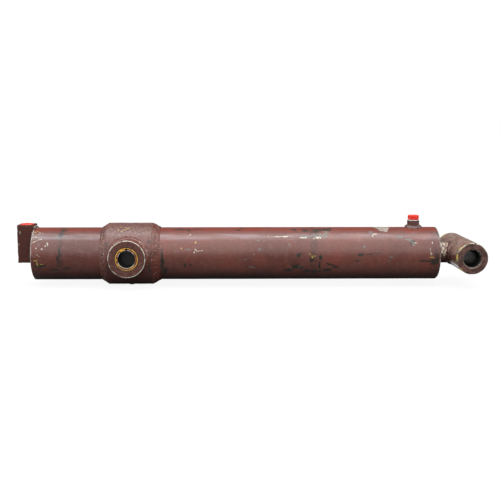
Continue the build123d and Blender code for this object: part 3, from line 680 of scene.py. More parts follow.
def honed_steel():
    """Honed bore with its crosshatch."""
    n = Material("honed_steel")
    flat = unrolled(n, n.position)
    hatch = []
    for turn in (25, -25):
        along = {"Vector": flat, "Rotation": (0, 0, math.radians(turn)), "Scale": (80, 2500, 1)}
        hatch.append(n.noise(1, 1, n.add("Mapping", along).outputs[0]))
    lines = n.maths("ADD", *hatch)
    n.colour = n.blend(n.smooth(lines, 0.8, 1.2), srgb(128, 130, 130), srgb(164, 166, 166))
    return n.finish(0.3, 0.95, [(lines, 0.006)])


def black_oxide():
    n = Material("black_oxide")
    worn = n.patches(320, 4, 0.55, 0.7)
    n.colour = n.blend(worn, srgb(38, 34, 32), srgb(96, 90, 84))
    return n.finish(n.number(worn, 0.5, 0.35), 0.7, [(n.noise(500, 3), 0.05)])


def dry_bush():
    """Thin steel-backed bush, its lining dark with grease and dirt."""
    n = Material("dry_bush_lining")
    radius, along = n.radius("Y", (EYE_X, 0, 0))
    wall = n.smooth(radius, PIN_R + 0.1 * MM, PIN_R + 0.5 * MM)
    n.colour = n.blend(n.patches(90, 4, 0.4, 0.6), srgb(6, 7, 6), srgb(24, 26, 22))
    n.coat(srgb(44, 40, 34), wall)
    streaks = n.noise(1, 3, n.join(n.times(along, 60), n.times(radius, 1200), 0))
    return n.finish(n.number(streaks, 0.4, 0.6), bumps=[(streaks, 0.05)], Specular_IOR_Level=0.25)


def moulded_rubber(name, colour, rough):
    """Seal material: faint flow lines and dust."""
    n = Material(name)
    dust_and_highlight = n.patches(130, 4, 0.5, 0.75)
    n.colour = colour
    n.coat(tuple(min(1.0, channel * 1.8 + 0.01) for channel in colour[:3]) + (1.0,), dust_and_highlight, 0.5)
    radius, along = n.radius("X")
    flow = n.noise(1, 2, n.join(n.times(radius, 1100), n.times(along, 300), 0))
    return n.finish(n.number(dust_and_highlight, rough, rough + 0.15), bumps=[(flow, 0.02)])


def woven_guide():
    """Guide rings of resin-bonded cloth, with the weave just showing."""
    n = Material("woven_guide_ring")
    x, around, _ = n.parts(unrolled(n, n.position))
    pitch = 0.8 * MM
    weave = n.times(*(n.maths("SINE", n.times(place, TAU / pitch)) for place in (x, around)))
    n.colour = n.blend(n.smooth(weave, -0.6, 0.6), srgb(122, 84, 48), srgb(164, 120, 74))
    n.coat(srgb(92, 60, 36), n.patches(40, 4, 0.45, 0.7), 0.5)
    return n.finish(0.55, bumps=[(weave, 0.03)])


def red_plastic():
    """Moulded transport plug: bright red, lightly scuffed, a little light passing through."""
    n = Material("red_plug_plastic")
    scuffed = n.patches(180, 4, 0.52, 0.72)
    n.colour = srgb(196, 40, 20)
    n.coat(srgb(222, 86, 60), scuffed, 0.35)
    glow = {"Subsurface_Weight": 0.25, "Subsurface_Scale": 2 * MM}
    return n.finish(n.number(scuffed, 0.28, 0.5), bumps=[(n.noise(240, 3), 0.06)], **glow)


# ---------------------------------------------------------------- mesh building
def rounded(corners, steps=5):
    """Outline from corners: (along, radius) in metres and the rounding in mm."""
    outline = []
    for k, (along, radius, rounding) in enumerate(corners):
        corner = np.array((along, radius))
        if rounding == 0:
            outline.append(corner)
            continue
        before = np.array(corners[k - 1][:2]) - corner
        after = np.array(corners[(k + 1) % len(corners)][:2]) - corner
        start = corner + before / np.linalg.norm(before) * (rounding * MM)
        end = corner + after / np.linalg.norm(after) * (rounding * MM)
        for t in np.linspace(0, 1, steps):
            outline.append((1 - t) ** 2 * start + 2 * t * (1 - t) * corner + t**2 * end)
    return np.array(outline)


def refined(outline, longest, closed=True):
    """The same outline with no side longer than asked."""
    points = []
    count = len(outline)
    for k in range(count if closed else count - 1):
        start, end = outline[k], outline[(k + 1) % count]
        pieces = max(1, math.ceil(np.linalg.norm(end - start) / longest))
        points += [start + (end - start) * i / pieces for i in range(pieces)]
    if not closed:
        points.append(outline[-1])
    return np.array(points)


def grid_faces(rows, columns, rows_close=True, columns_close=True):
    """Quads of a grid of points, wrapped round in each direction that closes."""
    across = np.arange(rows if rows_close else rows - 1)
    down = np.arange(columns if columns_close else columns - 1)
    i, j = np.meshgrid(across, down, indexing="ij")
    i2, j2 = (i + 1) % rows, (j + 1) % columns
    corners = [i * columns + j, i2 * columns + j, i2 * columns + j2, i * columns + j2]
    return np.stack(corners, -1).reshape(-1, 4).tolist()


def closed_mesh(points, faces):
    """Mesh of a closed surface, with its faces turned outwards."""
    mesh = bpy.data.meshes.new("shape")
    mesh.from_pydata(np.asarray(points).reshape(-1, 3).tolist(), [], faces)
    joined = bmesh.new()
    joined.from_mesh(mesh)
    bmesh.ops.remove_doubles(joined, verts=joined.verts, dist=0.001 * MM)
    if joined.calc_volume(signed=True) < 0:
        bmesh.ops.reverse_faces(joined, faces=joined.faces)
    joined.to_mesh(mesh)
    joined.free()
    return mesh


def dress(mesh, node, material, name=None, sharp=40):
    """Piece that rides with a CAD node's body and takes its place; sharp is in degrees."""
    name = name or f"{node}_skin"
    mesh.name = name
    mesh.shade_smooth()
    mesh.set_sharp_from_angle(angle=math.radians(sharp))
    mesh.materials.clear()
    mesh.materials.append(material)
    piece = bpy.data.objects.new(name, mesh)
    bpy.context.scene.collection.objects.link(piece)
    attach(piece, BODY_OF[node])
    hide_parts(node)


def on_axis(axis, along, radius, angle):
    """Points at a place along an axis, a radius from it and an angle round it."""
    across, up = radius * np.cos(angle), radius * np.sin(angle)
    order = {"X": (along, across, up), "Y": (across, along, up), "Z": (across, up, along)}[axis]
    return np.stack(np.broadcast_arrays(*order), -1)


def off_axis(axis, points):
    """Distance of each point from an axis."""
    first, second = {"X": (1, 2), "Y": (0, 2), "Z": (0, 1)}[axis]
    return np.hypot(points[..., first], points[..., second])


def turned(outline, axis="X", centre=(0, 0, 0), steps=192, skin=None):
    """Mesh of an outline turned about an axis. skin(points) moves its points outwards."""
    outline = np.asarray(outline)
    solid = outline[0][1] == 0 and outline[-1][1] == 0
    angle = (np.arange(steps) * TAU / steps)[:, None]
    points = on_axis(axis, outline[:, 0][None], outline[:, 1][None], angle)
    if skin is not None:
        ahead, behind = np.roll(outline, -1, 0), np.roll(outline, 1, 0)
        side = ahead - behind
        area = np.sum(outline[:, 0] * ahead[:, 1] - ahead[:, 0] * outline[:, 1])
        normal = np.stack((side[:, 1], -side[:, 0]), -1) * np.sign(area)
        normal /= np.maximum(np.linalg.norm(normal, axis=1, keepdims=True), 1e-12)
        outwards = on_axis(axis, normal[:, 0][None], normal[:, 1][None], angle)
        points = points + outwards * skin(points)[..., None]
    return closed_mesh(points + np.array(centre), grid_faces(steps, len(outline), True, not solid))


def lumps(points, size, depth, octaves=3, seed=0.0):
    """Uneven skin: noise of a given size and depth at each point."""
    flat = points.reshape(-1, 3) / size + seed
    values = [noise.fractal(Vector(p), 1.0, 2.0, octaves) for p in flat]
    return np.array(values).reshape(points.shape[:-1]) * depth


def rim_chips(points, rim_radius, rim_along, depth):
    """Small nicks pushed into the outer corners of a bar along Y."""
    off = np.hypot(off_axis("Y", points) - rim_radius, np.abs(points[..., 1]) - rim_along)
    edge = np.clip(1 - off / (3 * MM), 0, 1)
    nick = np.clip(lumps(points, 7 * MM, 1.0, 3, 5.0) - 0.05, 0, 1)
    return -edge * nick * depth


def thread_wall(points, radius, z_low, z_high):
    """Outward push that cuts a pipe thread into a bore along Z."""
    pitch, depth = 1.814 * MM, 1.1 * MM
    turn = points[..., 2] / pitch - np.arctan2(points[..., 1], points[..., 0]) / TAU
    groove = 1 - np.abs(2 * (turn - np.floor(turn)) - 1)
    on_wall = np.abs(off_axis("Z", points) - radius) < 0.05 * MM
    on_wall = on_wall & (points[..., 2] > z_low) & (points[..., 2] < z_high)
    return np.where(on_wall, groove * depth, 0.0)


def cut_away(mesh, cutter):
    """The mesh less the cutter, which is another closed mesh."""
    target, tool = (bpy.data.objects.new("shape", part) for part in (mesh, cutter))
    for thing in (target, tool):
        bpy.context.scene.collection.objects.link(thing)
    cut = target.modifiers.new("cut", "BOOLEAN")
    cut.operation, cut.object, cut.solver = "DIFFERENCE", tool, "EXACT"
    bpy.context.view_layer.update()
    graph = bpy.context.evaluated_depsgraph_get()
    result = bpy.data.meshes.new_from_object(target.evaluated_get(graph))
    for thing in (target, tool):
        bpy.data.objects.remove(thing)
    return result


# ---------------------------------------------------------------- weld beads
# A path is three rows of vectors: the places under the bead's middle, which way is out from the
# joint there, and which way is across the bead.
def ring_path(x, radius, lean, steps):
    """Path round the cylinder at x; lean is how far its outward side tips towards -X."""
    angle = np.arange(steps) * TAU / steps

    def ring(along, out):
        return on_axis("X", np.full(steps, along), np.full(steps, out), angle)

    cos, sin = math.cos(lean), math.sin(lean)
    return ring(x, radius), ring(-sin, cos), ring(cos, sin)


def saddle_path(centre, along, across, small_radius, big_radius, steps):
    """Fillet-weld path where a small round bar leaves a big one at right angles.

    along points out along the small bar, across along the big bar."""
    centre, along, across = (np.array(v, float) for v in (centre, along, across))
    third = np.cross(along, across)
    angle = (np.arange(steps) * TAU / steps)[:, None]
    around = np.cos(angle) * across + np.sin(angle) * third
    height = np.sqrt(big_radius**2 - (small_radius * np.sin(angle)) ** 2)
    root = centre + around * small_radius + along * height
    big_normal = (along * height + third * small_radius * np.sin(angle)) / big_radius
    outward = around + big_normal
    outward /= np.linalg.norm(outward, axis=1, keepdims=True)
    travel = np.roll(root, -1, 0) - np.roll(root, 1, 0)
    sideways = np.cross(travel, outward)
    sideways /= np.linalg.norm(sideways, axis=1, keepdims=True)
    half_angle = np.arccos(np.clip(np.sum(around * big_normal, 1), -1, 1)) / 2
    depth, half_width = WELD_LEG * np.sin(half_angle), WELD_LEG * np.cos(half_angle)
    # where the bars meet at a wide angle the fillet is shallow, so it starts deeper
    sink = np.maximum(depth, 0.35 * WELD_LEG)[:, None]
    return (root + outward * depth[:, None], outward, sideways), half_width, sink


def weld_bead(name, node, path, half_width, crown, root, material=None, ripple=3.4 * MM,
              closed=True, uneven=0.12, seed=0.0):
    """Weld bead: crescent ripples along a slightly wandering crown, over a buried root."""
    points, outward, sideways = path
    count = len(points)
    half_width = np.broadcast_to(half_width, count)[:, None]
    root = np.broadcast_to(root, (count, 1))
    gaps = np.linalg.norm(np.diff(points, axis=0, append=points[:1]), axis=1)
    travel = np.concatenate(([0], np.cumsum(gaps)))
    ripples = max(1, round(travel[-1] / ripple))
    phase = (travel[:-1] / travel[-1] * ripples)[:, None]
    section = np.linspace(-1, 1, 11)[None]
    wander = lumps(points, 11 * MM, 1.0, 2, seed)[:, None]
    swell = lumps(points, 23 * MM, 1.0, 2, seed + 9)[:, None]
    wave = phase - 0.5 * section**2
    scallop = 1 - (wave - np.floor(wave))
    dome = np.maximum(1 - section**2, 0) ** 0.6
    width = half_width * (1 + uneven * wander)
    height = crown * dome * (1 + 2 * uneven * swell + 0.35 * (scallop - 0.5))
    across = sideways[:, None] * (width * section)[..., None]
    up = outward[:, None] * height[..., None]
    top = points[:, None] + across + up
    buried = [points - outward * root + sideways * half_width * share for share in (0.55, -0.55)]
    loops = np.concatenate([top] + [b[:, None] for b in buried], 1)
    sides = loops.shape[1]
    faces = grid_faces(count, sides, closed, True)
    if not closed:
        last = (count - 1) * sides
        faces += [list(range(sides)), list(range(last + sides - 1, last - 1, -1))]
    dress(closed_mesh(loops, faces), node, material or WELD, name, 50)


# ---------------------------------------------------------------- barrel
def build_barrel():
    bevel, lip, gland_seat = 6 * MM, 3 * MM, GLAND_X0 + 14 * MM
    wall = rounded([
        (BARREL_X0, BORE_R + bevel, 0), (BARREL_X0 + bevel, BORE_R, 0), (gland_seat, BORE_R, 0),
        (gland_seat, GLAND_R, 0), (BARREL_X1, GLAND_R, 0.6), (BARREL_X1, BARREL_R - lip, 0.5),
        (BARREL_X1 - lip, BARREL_R, 1.5), (BARREL_X0, BARREL_R, 1.2),
    ])
    outer = wall[:, 1] > BARREL_R - 4 * MM
    first, last = np.argmax(outer), len(wall) - np.argmax(outer[::-1])
    skin_side = refined(wall[first:last], 5 * MM, closed=False)
    outline = np.concatenate((wall[:first], skin_side, wall[last:]))

    def skin(points):
        outside = off_axis("X", points) > BARREL_R - 1 * MM
        return np.where(outside, lumps(points, 60 * MM, 0.12 * MM), 0)

    dress(turned(outline, steps=224, skin=skin), "barrel_tube", barrel_paint())
    path = ring_path(BARREL_X0, BORE_R, math.radians(90), 520)
    weld_bead("base_cap_bead", "base_cap_weld", path, 6.2 * MM, 1.4 * MM, 5 * MM)


# ---------------------------------------------------------------- trunnion
def build_collar(material):
    inner = BARREL_R - 2 * MM
    outline = rounded([
        (-COLLAR_X1, inner, 0), (COLLAR_X1, inner, 0), (COLLAR_X1, COLLAR_R, 2),
        (-COLLAR_X1, COLLAR_R, 2),
    ])

    def skin(points):
        return lumps(points, 16 * MM, 0.28 * MM, 4, 3.0)

    socket_r = (BUSH_R + BOSS_R) / 2
    ends = [(-BOSS_FACE, 0), (-BOSS_FACE, socket_r), (BOSS_FACE, socket_r), (BOSS_FACE, 0)]
    ring = turned(refined(outline, 3 * MM), steps=240, skin=skin)
    dress(cut_away(ring, turned(ends, "Y", steps=96)), "trunnion_collar", material)


def build_collar_welds():
    """Each end of the collar is built up with beads that step down to the barrel."""
    ends = [
        ("base", -COLLAR_X1, COLLAR_WELD_X0, WELD),
        ("gland", COLLAR_X1, COLLAR_WELD_X1, RUSTY_WELD),
    ]
    passes, overlap, sunk = 2, 0.62, 0.8 * MM
    drop = COLLAR_R - BARREL_R - 1.5 * MM
    for end, top_x, toe_x, material in ends:
        length = toe_x - top_x
        lean = math.atan2(drop, abs(length)) * math.copysign(1, -length)
        half = math.hypot(length, drop) / passes * overlap
        for k in range(passes):
            share = (k + 0.5) / passes
            radius = BARREL_R + drop * (1 - share) - sunk
            path = ring_path(top_x + length * share, radius, lean, 640)
            weld_bead(f"collar_{end}_bead_{k + 1}", "trunnion_collar_welds", path, half, 1.2 * MM,
                      7.5 * MM, material, uneven=0.3, seed=11.0 * k + top_x)


def build_bosses(material, weld):
    floor, inner_end = -67.5 * MM, -60 * MM
    outline = rounded([
        (inner_end, 0, 0), (floor, 0, 0), (floor, BUSH_R, 0), (-BOSS_FACE, BUSH_R, 0.6),
        (-BOSS_FACE, BOSS_R, 1.6), (inner_end, BOSS_R, 0), (inner_end, 0, 0),
    ])[1:]
    outline = refined(outline, 2.2 * MM, closed=False)

    def skin(points):
        outside = off_axis("Y", points) > BUSH_R + 2 * MM
        worn = lumps(points, 12 * MM, 0.1 * MM) + rim_chips(points, BOSS_R, BOSS_FACE, 0.9 * MM)
        return np.where(outside, worn, 0)

    for side, way in SIDES:
        node = f"trunnion_boss_{side}"
        dress(sided(turned(outline, "Y", steps=224, skin=skin), way), node, material)
        path, half, sink = saddle_path((0, 0, 0), (0, -way, 0), (1, 0, 0), BOSS_R, COLLAR_R, 420)
        weld_bead(f"{node}_bead", "trunnion_boss_welds", path, half, 1.1 * MM, sink, weld,
                  seed=4.0 * way)


def sided(mesh, way):
    """The mesh as it is, or for way -1 its mirror image on the other side of the cylinder."""
    if way < 0:
        for vertex in mesh.vertices:
            vertex.co.y *= -1
        mesh.flip_normals()
    return mesh


def build_bushes(material):
    """Bronze bushes with a grease groove, each with a hole at its top for a keeper screw."""
    chamfer, keeper_r, keeper_z = 1 * MM, 3 * MM, (PIN_R + BUSH_R) / 2
    groove_half, groove_depth, groove_start = 1.6 * MM, 1.5 * MM, 10 * MM
    outline = refined(rounded([
        (-BUSH_END, PIN_R, 0.6), (-BUSH_END, BUSH_R, 0.3), (-BUSH_FACE, BUSH_R, 0.8),
        (-BUSH_FACE, PIN_R + chamfer, 0.3), (-BUSH_FACE + chamfer, PIN_R, 0.3),
    ]), 2 * MM)

    def skin(points):
        x, y, z = (points[..., k] for k in range(3))
        in_bore = off_axis("Y", points) < PIN_R + 0.2 * MM
        groove = (z < 0) & in_bore & (y > -BUSH_FACE + groove_start)
        beside = np.abs(x) / groove_half
        return np.where(groove, -groove_depth * np.sqrt(np.clip(1 - beside**2, 0, 1)), 0)

    outer, inner = -BUSH_FACE - 5 * MM, -BUSH_FACE + 8 * MM
    hole = [(outer, 0), (outer, keeper_r), (inner, keeper_r), (inner, 0)]
    for side, way in SIDES:
        whole = turned(outline, "Y", steps=240, skin=skin)
        mesh = cut_away(whole, turned(hole, "Y", (0, 0, keeper_z), 32))
        dress(sided(mesh, way), f"trunnion_bush_{side}", material)


# ---------------------------------------------------------------- port block and plugs
def build_block():
    """Saw-cut block with nicked edges, and a spot-faced, threaded port down from its top."""
    size = BLOCK_HIGH - BLOCK_LOW
    half = size / 2
    box = bmesh.new()
    bmesh.ops.create_cube(box, size=1)
    bmesh.ops.scale(box, vec=size, verts=box.verts)
    bmesh.ops.translate(box, vec=BLOCK_MIDDLE, verts=box.verts)
    bmesh.ops.subdivide_edges(box, edges=box.edges, cuts=27, use_grid_fill=True)
    sharp = [edge for edge in box.edges if edge.calc_face_angle(0) > 1]
    bmesh.ops.bevel(box, geom=sharp, offset=1.3 * MM, segments=3, profile=0.6, affect="EDGES")
    box.normal_update()
    for vertex in box.verts:
        gaps = sorted(half[i] - abs(vertex.co[i] - BLOCK_MIDDLE[i]) for i in range(3))
        edge = max(0.0, 1 - gaps[1] / (3.5 * MM))
        nick = max(0.0, noise.fractal(vertex.co / (8 * MM), 1.0, 2.0, 3) - 0.02)
        lump = noise.fractal(vertex.co / (20 * MM), 1.0, 2.0, 3) * 0.12 * MM
        vertex.co += vertex.normal * (min(lump, 0) - edge * nick * 1.3 * MM)
    mesh = bpy.data.meshes.new("block")
    box.to_mesh(mesh)
    box.free()

    top, above = BLOCK_HIGH.z, BLOCK_HIGH.z + 5 * MM
    port_r, spot_r, passage_r = 12.05 * MM, 19 * MM, 7 * MM
    port_floor, passage_floor, spot_face = top - 20 * MM, top - 70 * MM, top - 1 * MM
    thread_top, thread_floor = top - 1.6 * MM, top - 17 * MM
    below = [(passage_floor, 0), (passage_floor, passage_r), (port_floor, passage_r),
             (port_floor, port_r)]
    wall = refined(np.array([(thread_floor, port_r), (thread_top, port_r)]), 0.23 * MM, False)
    mouth = [(spot_face, port_r + 1.2 * MM), (spot_face, spot_r), (above, spot_r), (above, 0)]

    def thread(points):
        return thread_wall(points, port_r, thread_floor, thread_top)

    cutter = turned(np.concatenate((below, wall, mouth)), "Z", (BLOCK_X, 0, 0), 96, thread)
    dress(cut_away(mesh, cutter), "port_block", block_paint(), sharp=35)


def build_block_welds():
    """Beads down one side of the block, under it and up the other, and a heavy one on top."""
    x, half = BLOCK_HIGH.x, BLOCK_HIGH.y
    top, bottom = math.sqrt((BARREL_R - 5 * MM) ** 2 - half**2), BLOCK_LOW.z
    leg, steps = WELD_LEG / math.sqrt(2), 150
    share = np.linspace(0, 1, steps)[:, None]
    corners = [(x, -half, top), (x, -half, bottom), (x, half, bottom), (x, half, top)]
    for k, (start, end) in enumerate(zip(np.array(corners), np.array(corners[1:]))):
        side = (end - start) / np.linalg.norm(end - start)
        away = np.cross((1, 0, 0), side)
        middle = start + end
        away *= math.copysign(1, away @ (0, middle[1], middle[2] - 40 * MM))
        outward = (away - np.array((1, 0, 0))) / math.sqrt(2)
        points = start + (end - start) * share + outward * WELD_LEG / math.sqrt(2)
        rows = (np.tile(row, (steps, 1)) for row in (outward, np.cross(side, outward)))
        weld_bead(f"port_block_bead_{k + 1}", "port_block_weld", (points, *rows), leg, 1.2 * MM,
                  leg, closed=False, seed=3.0 * k)

    steps, lift, slope = 130, 1.5 * MM, 1.1
    y = np.linspace(4 * MM - half, half - 4 * MM, steps)
    points = np.stack((np.full(steps, x + lift), y, np.sqrt(BARREL_R**2 - y**2) + lift), -1)
    rows = (np.array(row) / math.hypot(1, slope) for row in ((1, 0, slope), (slope, 0, -1)))
    rows = (np.tile(row, (steps, 1)) for row in rows)
    weld_bead("port_block_top_bead", "port_block_weld", (points, *rows), 5 * MM, 3.4 * MM, 4 * MM,
              bright_weld(), 6 * MM, closed=False, uneven=0.5, seed=2.0)


def build_gland_port(material):
    bore, passage, foot = 9.3 * MM, 6 * MM, 60 * MM
    floor = PORT_TOP - 14 * MM
    thread_low, thread_high = floor + 2 * MM, PORT_TOP - 1.2 * MM
    rough = rounded([
        (foot, passage, 0), (floor, passage, 0), (floor, bore, 0), (thread_low, bore, 0),
        (thread_high, bore, 0), (PORT_TOP, bore + 1.1 * MM, 0.2),
        (PORT_TOP, PORT_R - 1.5 * MM, 0.3), (PORT_TOP - 1.5 * MM, PORT_R, 0.4),
        (foot, PORT_R, 0),
    ])
    wall = refined(rough[3:5], 0.2 * MM, closed=False)
    outline = np.concatenate((rough[:3], wall, rough[5:]))

    def skin(points):
        return -thread_wall(points, bore, thread_low, thread_high)

    dress(turned(outline, "Z", (PORT_X, 0, 0), 128, skin), "gland_port_boss", material)
    path, half, sink = saddle_path((PORT_X, 0, 0), (0, 0, 1), (1, 0, 0), PORT_R, BARREL_R, 260)
    weld_bead("gland_port_bead", "gland_port_weld", path, half, 1.6 * MM, sink, painted_highlight_weld())


def build_gland_plug(material):
    """Push-in cap with a fluted grip and a screwdriver slot."""
    head_r, stem_r, tip_r, neck_r, flutes = CAP_HIGH.y, 9.2 * MM, 6.7 * MM, 11 * MM, 18
    shoulder = PORT_TOP + 1.5 * MM
    outline = rounded([
        (CAP_LOW.z + 3 * MM, 0, 0), (CAP_LOW.z + 3 * MM, tip_r, 0.4), (CAP_LOW.z, tip_r, 0.3),
        (CAP_LOW.z, tip_r + 1 * MM, 0.3), (CAP_LOW.z + 2 * MM, stem_r, 0.4),
        (PORT_TOP, stem_r, 0), (PORT_TOP, neck_r, 0.2), (shoulder, neck_r, 0),
        (shoulder, head_r, 0.5), (CAP_HIGH.z, head_r, 1.8), (CAP_HIGH.z, 0, 0),
    ])

    def flute(points):
        angle = np.arctan2(points[..., 1], points[..., 0])
        grip = off_axis("Z", points) > head_r - 0.4 * MM
        high = points[..., 2] > shoulder + 1.5 * MM
        valley = np.clip(np.cos(angle * flutes), 0, 1) ** 0.7
        return np.where(grip & high, -0.7 * MM * valley, 0)

    half_length, half_width = 8 * MM, 1.5 * MM
    corners = [
        (PORT_X + sx * half_length, sy * half_width, z)
        for z in (CAP_HIGH.z - 3 * MM, CAP_HIGH.z + 1 * MM)
        for sx, sy in SQUARE
    ]
    ring = [[k, (k + 1) % 4, (k + 1) % 4 + 4, k + 4] for k in range(4)]
    slot = closed_mesh(corners, [[0, 3, 2, 1], [4, 5, 6, 7], *ring])
    whole = turned(refined(outline, 1.6 * MM, closed=False), "Z", (PORT_X, 0, 0), 216, flute)
    dress(cut_away(whole, slot), "gland_port_plug", material, sharp=35)


def build_base_plug(material):
    """Flanged plug with a hexagon socket."""
    flange_r, stem_r, seat = BASE_PLUG_HIGH.y, 12 * MM, BLOCK_HIGH.z - 1 * MM
    top, tip = BASE_PLUG_HIGH.z, BASE_PLUG_LOW.z
    outline = rounded([
        (tip, 0, 0), (tip, stem_r - 2 * MM, 0.4), (tip + 2 * MM, stem_r, 0.4), (seat, stem_r, 0),
        (seat, flange_r, 0.3), (top, flange_r, 1.1), (top, 0, 0),
    ])
    socket_r = 6 * MM * 2 / math.sqrt(3)
    low, high = top - 8 * MM, top + 2 * MM
    hexagon = [(low, 0), (low, socket_r), (high, socket_r), (high, 0)]
    socket = turned(hexagon, "Z", (BLOCK_X, 0, 0), 6)
    whole = turned(outline, "Z", (BLOCK_X, 0, 0), 128)
    dress(cut_away(whole, socket), "base_port_plug", material, sharp=35)


# ---------------------------------------------------------------- stage, rod and eye
def build_stage_tube(material):
    outline = rounded([
        (STAGE_LOW.x, STAGE_GLAND_R, 0), (STAGE_HIGH.x, STAGE_GLAND_R, 0.3),
        (STAGE_HIGH.x, STAGE_HIGH.z, 1.4), (STAGE_LOW.x, STAGE_HIGH.z, 0),
    ])
    dress(turned(refined(outline, 40 * MM)), "stage_outer_tube", material, "stage_tube_skin")


def build_rod(material):
    spigot_r = 16 * MM
    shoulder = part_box("rod_piston")[1].x
    outline = rounded([
        (ROD_LOW.x, 0, 0), (ROD_LOW.x, spigot_r, 1.2), (shoulder, spigot_r, 0),
        (shoulder, ROD_HIGH.z, 0.6), (NECK_X0, ROD_HIGH.z, 0), (NECK_X0, 0, 0),
    ])
    dress(turned(refined(outline, 40 * MM, closed=False), steps=160), "piston_rod", material)


def build_neck():
    end = EYE_X - 24 * MM
    outline = rounded([(NECK_X0, 0, 0), (NECK_X0, NECK_R, 1.5), (end, NECK_R, 0), (end, 0, 0)])

    def skin(points):
        outside = off_axis("X", points) > NECK_R - 0.2 * MM
        return np.where(outside, np.minimum(lumps(points, 9 * MM, 0.25 * MM, 4), 0), 0)

    mesh = turned(refined(outline, 1.8 * MM, closed=False), steps=160, skin=skin)
    dress(mesh, "rod_neck", neck_paint())


def build_eye(material):
    chamfer = 1.2 * MM
    outline = rounded([
        (-EYE_HALF, EYE_BORE_R + chamfer, 0.4), (-EYE_HALF, EYE_R, 1.6), (EYE_HALF, EYE_R, 1.6),
        (EYE_HALF, EYE_BORE_R + chamfer, 0.4), (EYE_HALF - chamfer, EYE_BORE_R, 0.3),
        (-EYE_HALF + chamfer, EYE_BORE_R, 0.3),
    ])

    def skin(points):
        outside = off_axis("Y", points) > EYE_BORE_R + 2 * MM
        chips = rim_chips(points, EYE_R, EYE_HALF, 1.1 * MM)
        return np.where(outside, lumps(points, 15 * MM, 0.14 * MM, 3, 8.0) + chips, 0)

    mesh = turned(refined(outline, 2.4 * MM), "Y", (EYE_X, 0, 0), 200, skin)
    dress(mesh, "rod_eye_tube", material)
    path, half, sink = saddle_path((EYE_X, 0, 0), (-1, 0, 0), (0, 1, 0), NECK_R, EYE_R, 300)
    weld_bead("rod_eye_bead", "rod_eye_weld", path, half, 1.0 * MM, sink, seed=6.0)


# ---------------------------------------------------------------- floor, light and camera
def build_floor():
    """Pale floor that glows a little to the camera, so that its shadows stay faint."""
    low, reach = cad_bounds[0].z, 40.0
    mesh = bpy.data.meshes.new("floor")
    corners = [(sx * reach, sy * reach, low) for sx, sy in SQUARE]
    mesh.from_pydata(corners, [], [(0, 1, 2, 3)])
    n = Material("floor_paper")
    seen = n.add("LightPath").outputs["Is Camera Ray"]
    far = n.smooth(n.vector("LENGTH", n.position), 0.7, 3.0)
    glow = n.times(seen, n.number(n.noise(3, 3), 0.98, 1.0), n.number(far, 0.9, 1.0))
    tone = n.number(seen, 0.12, n.number(far, 0.045, 0.02))
    n.colour = n.join(tone, tone, tone)
    mesh.materials.append(n.finish(0.9, Emission_Color=(1, 1, 1, 1), Emission_Strength=glow))
    floor = bpy.data.objects.new("floor", mesh)
    bpy.context.scene.collection.objects.link(floor)


# Light of the studio as (degrees, level), from below the front horizon (0) over the top to the
# back horizon (180)
LIGHT_ARCH = [
    (-20, 0.25), (0, 0.85), (25, 2.5), (60, 2.8), (95, 2.2), (118, 0.8), (135, 0.3), (180, 0.3),
]


def build_world():
    """White to the camera; as a light, a broad bright front that falls off behind the cylinder."""
    world = bpy.data.worlds.new("studio")
    world.use_nodes = True
    bpy.context.scene.world = world
    n = Nodes(world.node_tree)
    _, back, up = n.parts(n.direction)
    angle = n.maths("ARCTAN2", up, n.maths("MULTIPLY", back, -1))
    first, last = LIGHT_ARCH[0][0], LIGHT_ARCH[-1][0]
    limits = {"Value": angle, "From Min": math.radians(first), "From Max": math.radians(last)}
    ramp = n.add("ValToRGB", {0: n.add("MapRange", limits).outputs[0]})
    stops = ramp.color_ramp
    stops.interpolation = "EASE"
    stops.elements.remove(stops.elements[1])
    brightest = max(level for _, level in LIGHT_ARCH)
    for k, (degrees, level) in enumerate(LIGHT_ARCH):
        place = (degrees - first) / (last - first)
        stop = stops.elements[0] if k == 0 else stops.elements.new(place)
        stop.color = (level / brightest,) * 3 + (1,)
    light = n.add("Background", {"Color": ramp.outputs[0], "Strength": brightest})
    backdrop = n.add("Background", {"Color": (1, 1, 1, 1)})
    seen = n.add("LightPath").outputs["Is Camera Ray"]
    mixer = n.add("MixShader", {0: seen, 1: light.outputs[0], 2: backdrop.outputs[0]})
    n.add("OutputWorld", {"Surface": mixer.outputs[0]})


def put(thing, name, place, backwards):
    """Object at a place, looking away from the direction given."""
    item = bpy.data.objects.new(name, thing)
    item.location = place
    item.rotation_euler = (-backwards).to_track_quat("-Z", "Y").to_euler()
    bpy.context.scene.collection.objects.link(item)
    return item


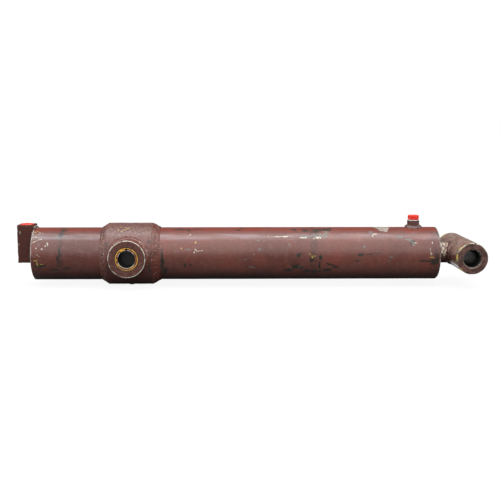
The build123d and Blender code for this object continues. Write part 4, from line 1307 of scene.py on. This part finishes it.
def add_softbox():
    """Long soft light over the cylinder, towards the front."""
    lamp = bpy.data.lights.new("overhead", "AREA")
    lamp.shape = "RECTANGLE"
    lamp.size, lamp.size_y = 4.0, 0.7
    lamp.energy = 44
    place, aim = Vector((0.3, -0.25, 2.2)), Vector((0.3, 0, 0))
    put(lamp, "overhead", place, place - aim)


def add_camera():
    """Eight degrees above the cylinder, a little left of square on."""
    aim, distance = Vector((296, 0, 7.5)) * MM, 2.13
    azimuth, elevation = math.radians(-0.8), math.radians(8.05)
    flat = math.cos(elevation)
    back = Vector((math.sin(azimuth) * flat, -math.cos(azimuth) * flat, math.sin(elevation)))
    lens = bpy.data.cameras.new("camera")
    lens.sensor_width, lens.lens = 36, 61.2
    bpy.context.scene.camera = put(lens, "camera", aim + back * distance, back)


# ---------------------------------------------------------------- build everything
WELD = weld_paint()
RUSTY_WELD = weld_paint("rusty_weld_paint", 0.9, 0.8)
COLLAR = collar_paint()
RED = red_plastic()
BRONZE = bronze()
CHROME = hard_chrome()

build_barrel()
build_collar(COLLAR)
build_collar_welds()
build_bosses(boss_paint(), RUSTY_WELD)
build_bushes(BRONZE)
build_block()
build_block_welds()
build_gland_port(port_paint())
build_gland_plug(RED)
build_base_plug(RED)
build_stage_tube(CHROME)
build_rod(CHROME)
build_neck()
build_eye(eye_paint())

# The parts that keep their CAD shape: the base cap is painted, the rest go by their slots
CAD_MATERIALS = {
    "paint": COLLAR,
    "casting_paint": COLLAR,
    "weld": WELD,
    "bronze": BRONZE,
    "dry_bush": dry_bush(),
    "machined": turned_steel(),
    "honed_tube": honed_steel(),
    "hard_chrome": CHROME,
    "screw": black_oxide(),
    "seal": moulded_rubber("black_rubber", srgb(26, 26, 28), 0.5),
    "polyurethane": moulded_rubber("blue_polyurethane", srgb(24, 74, 118), 0.35),
    "guide_ring": woven_guide(),
    "red_plastic": RED,
}
for node, slot in SLOT_OF.items():
    for place in frame["nodes"][node].material_slots:
        place.material = COLLAR if node == "base_cap" else CAD_MATERIALS[slot]

build_floor()
build_world()
add_softbox()
add_camera()
bpy.context.scene.view_settings.view_transform = "Standard"
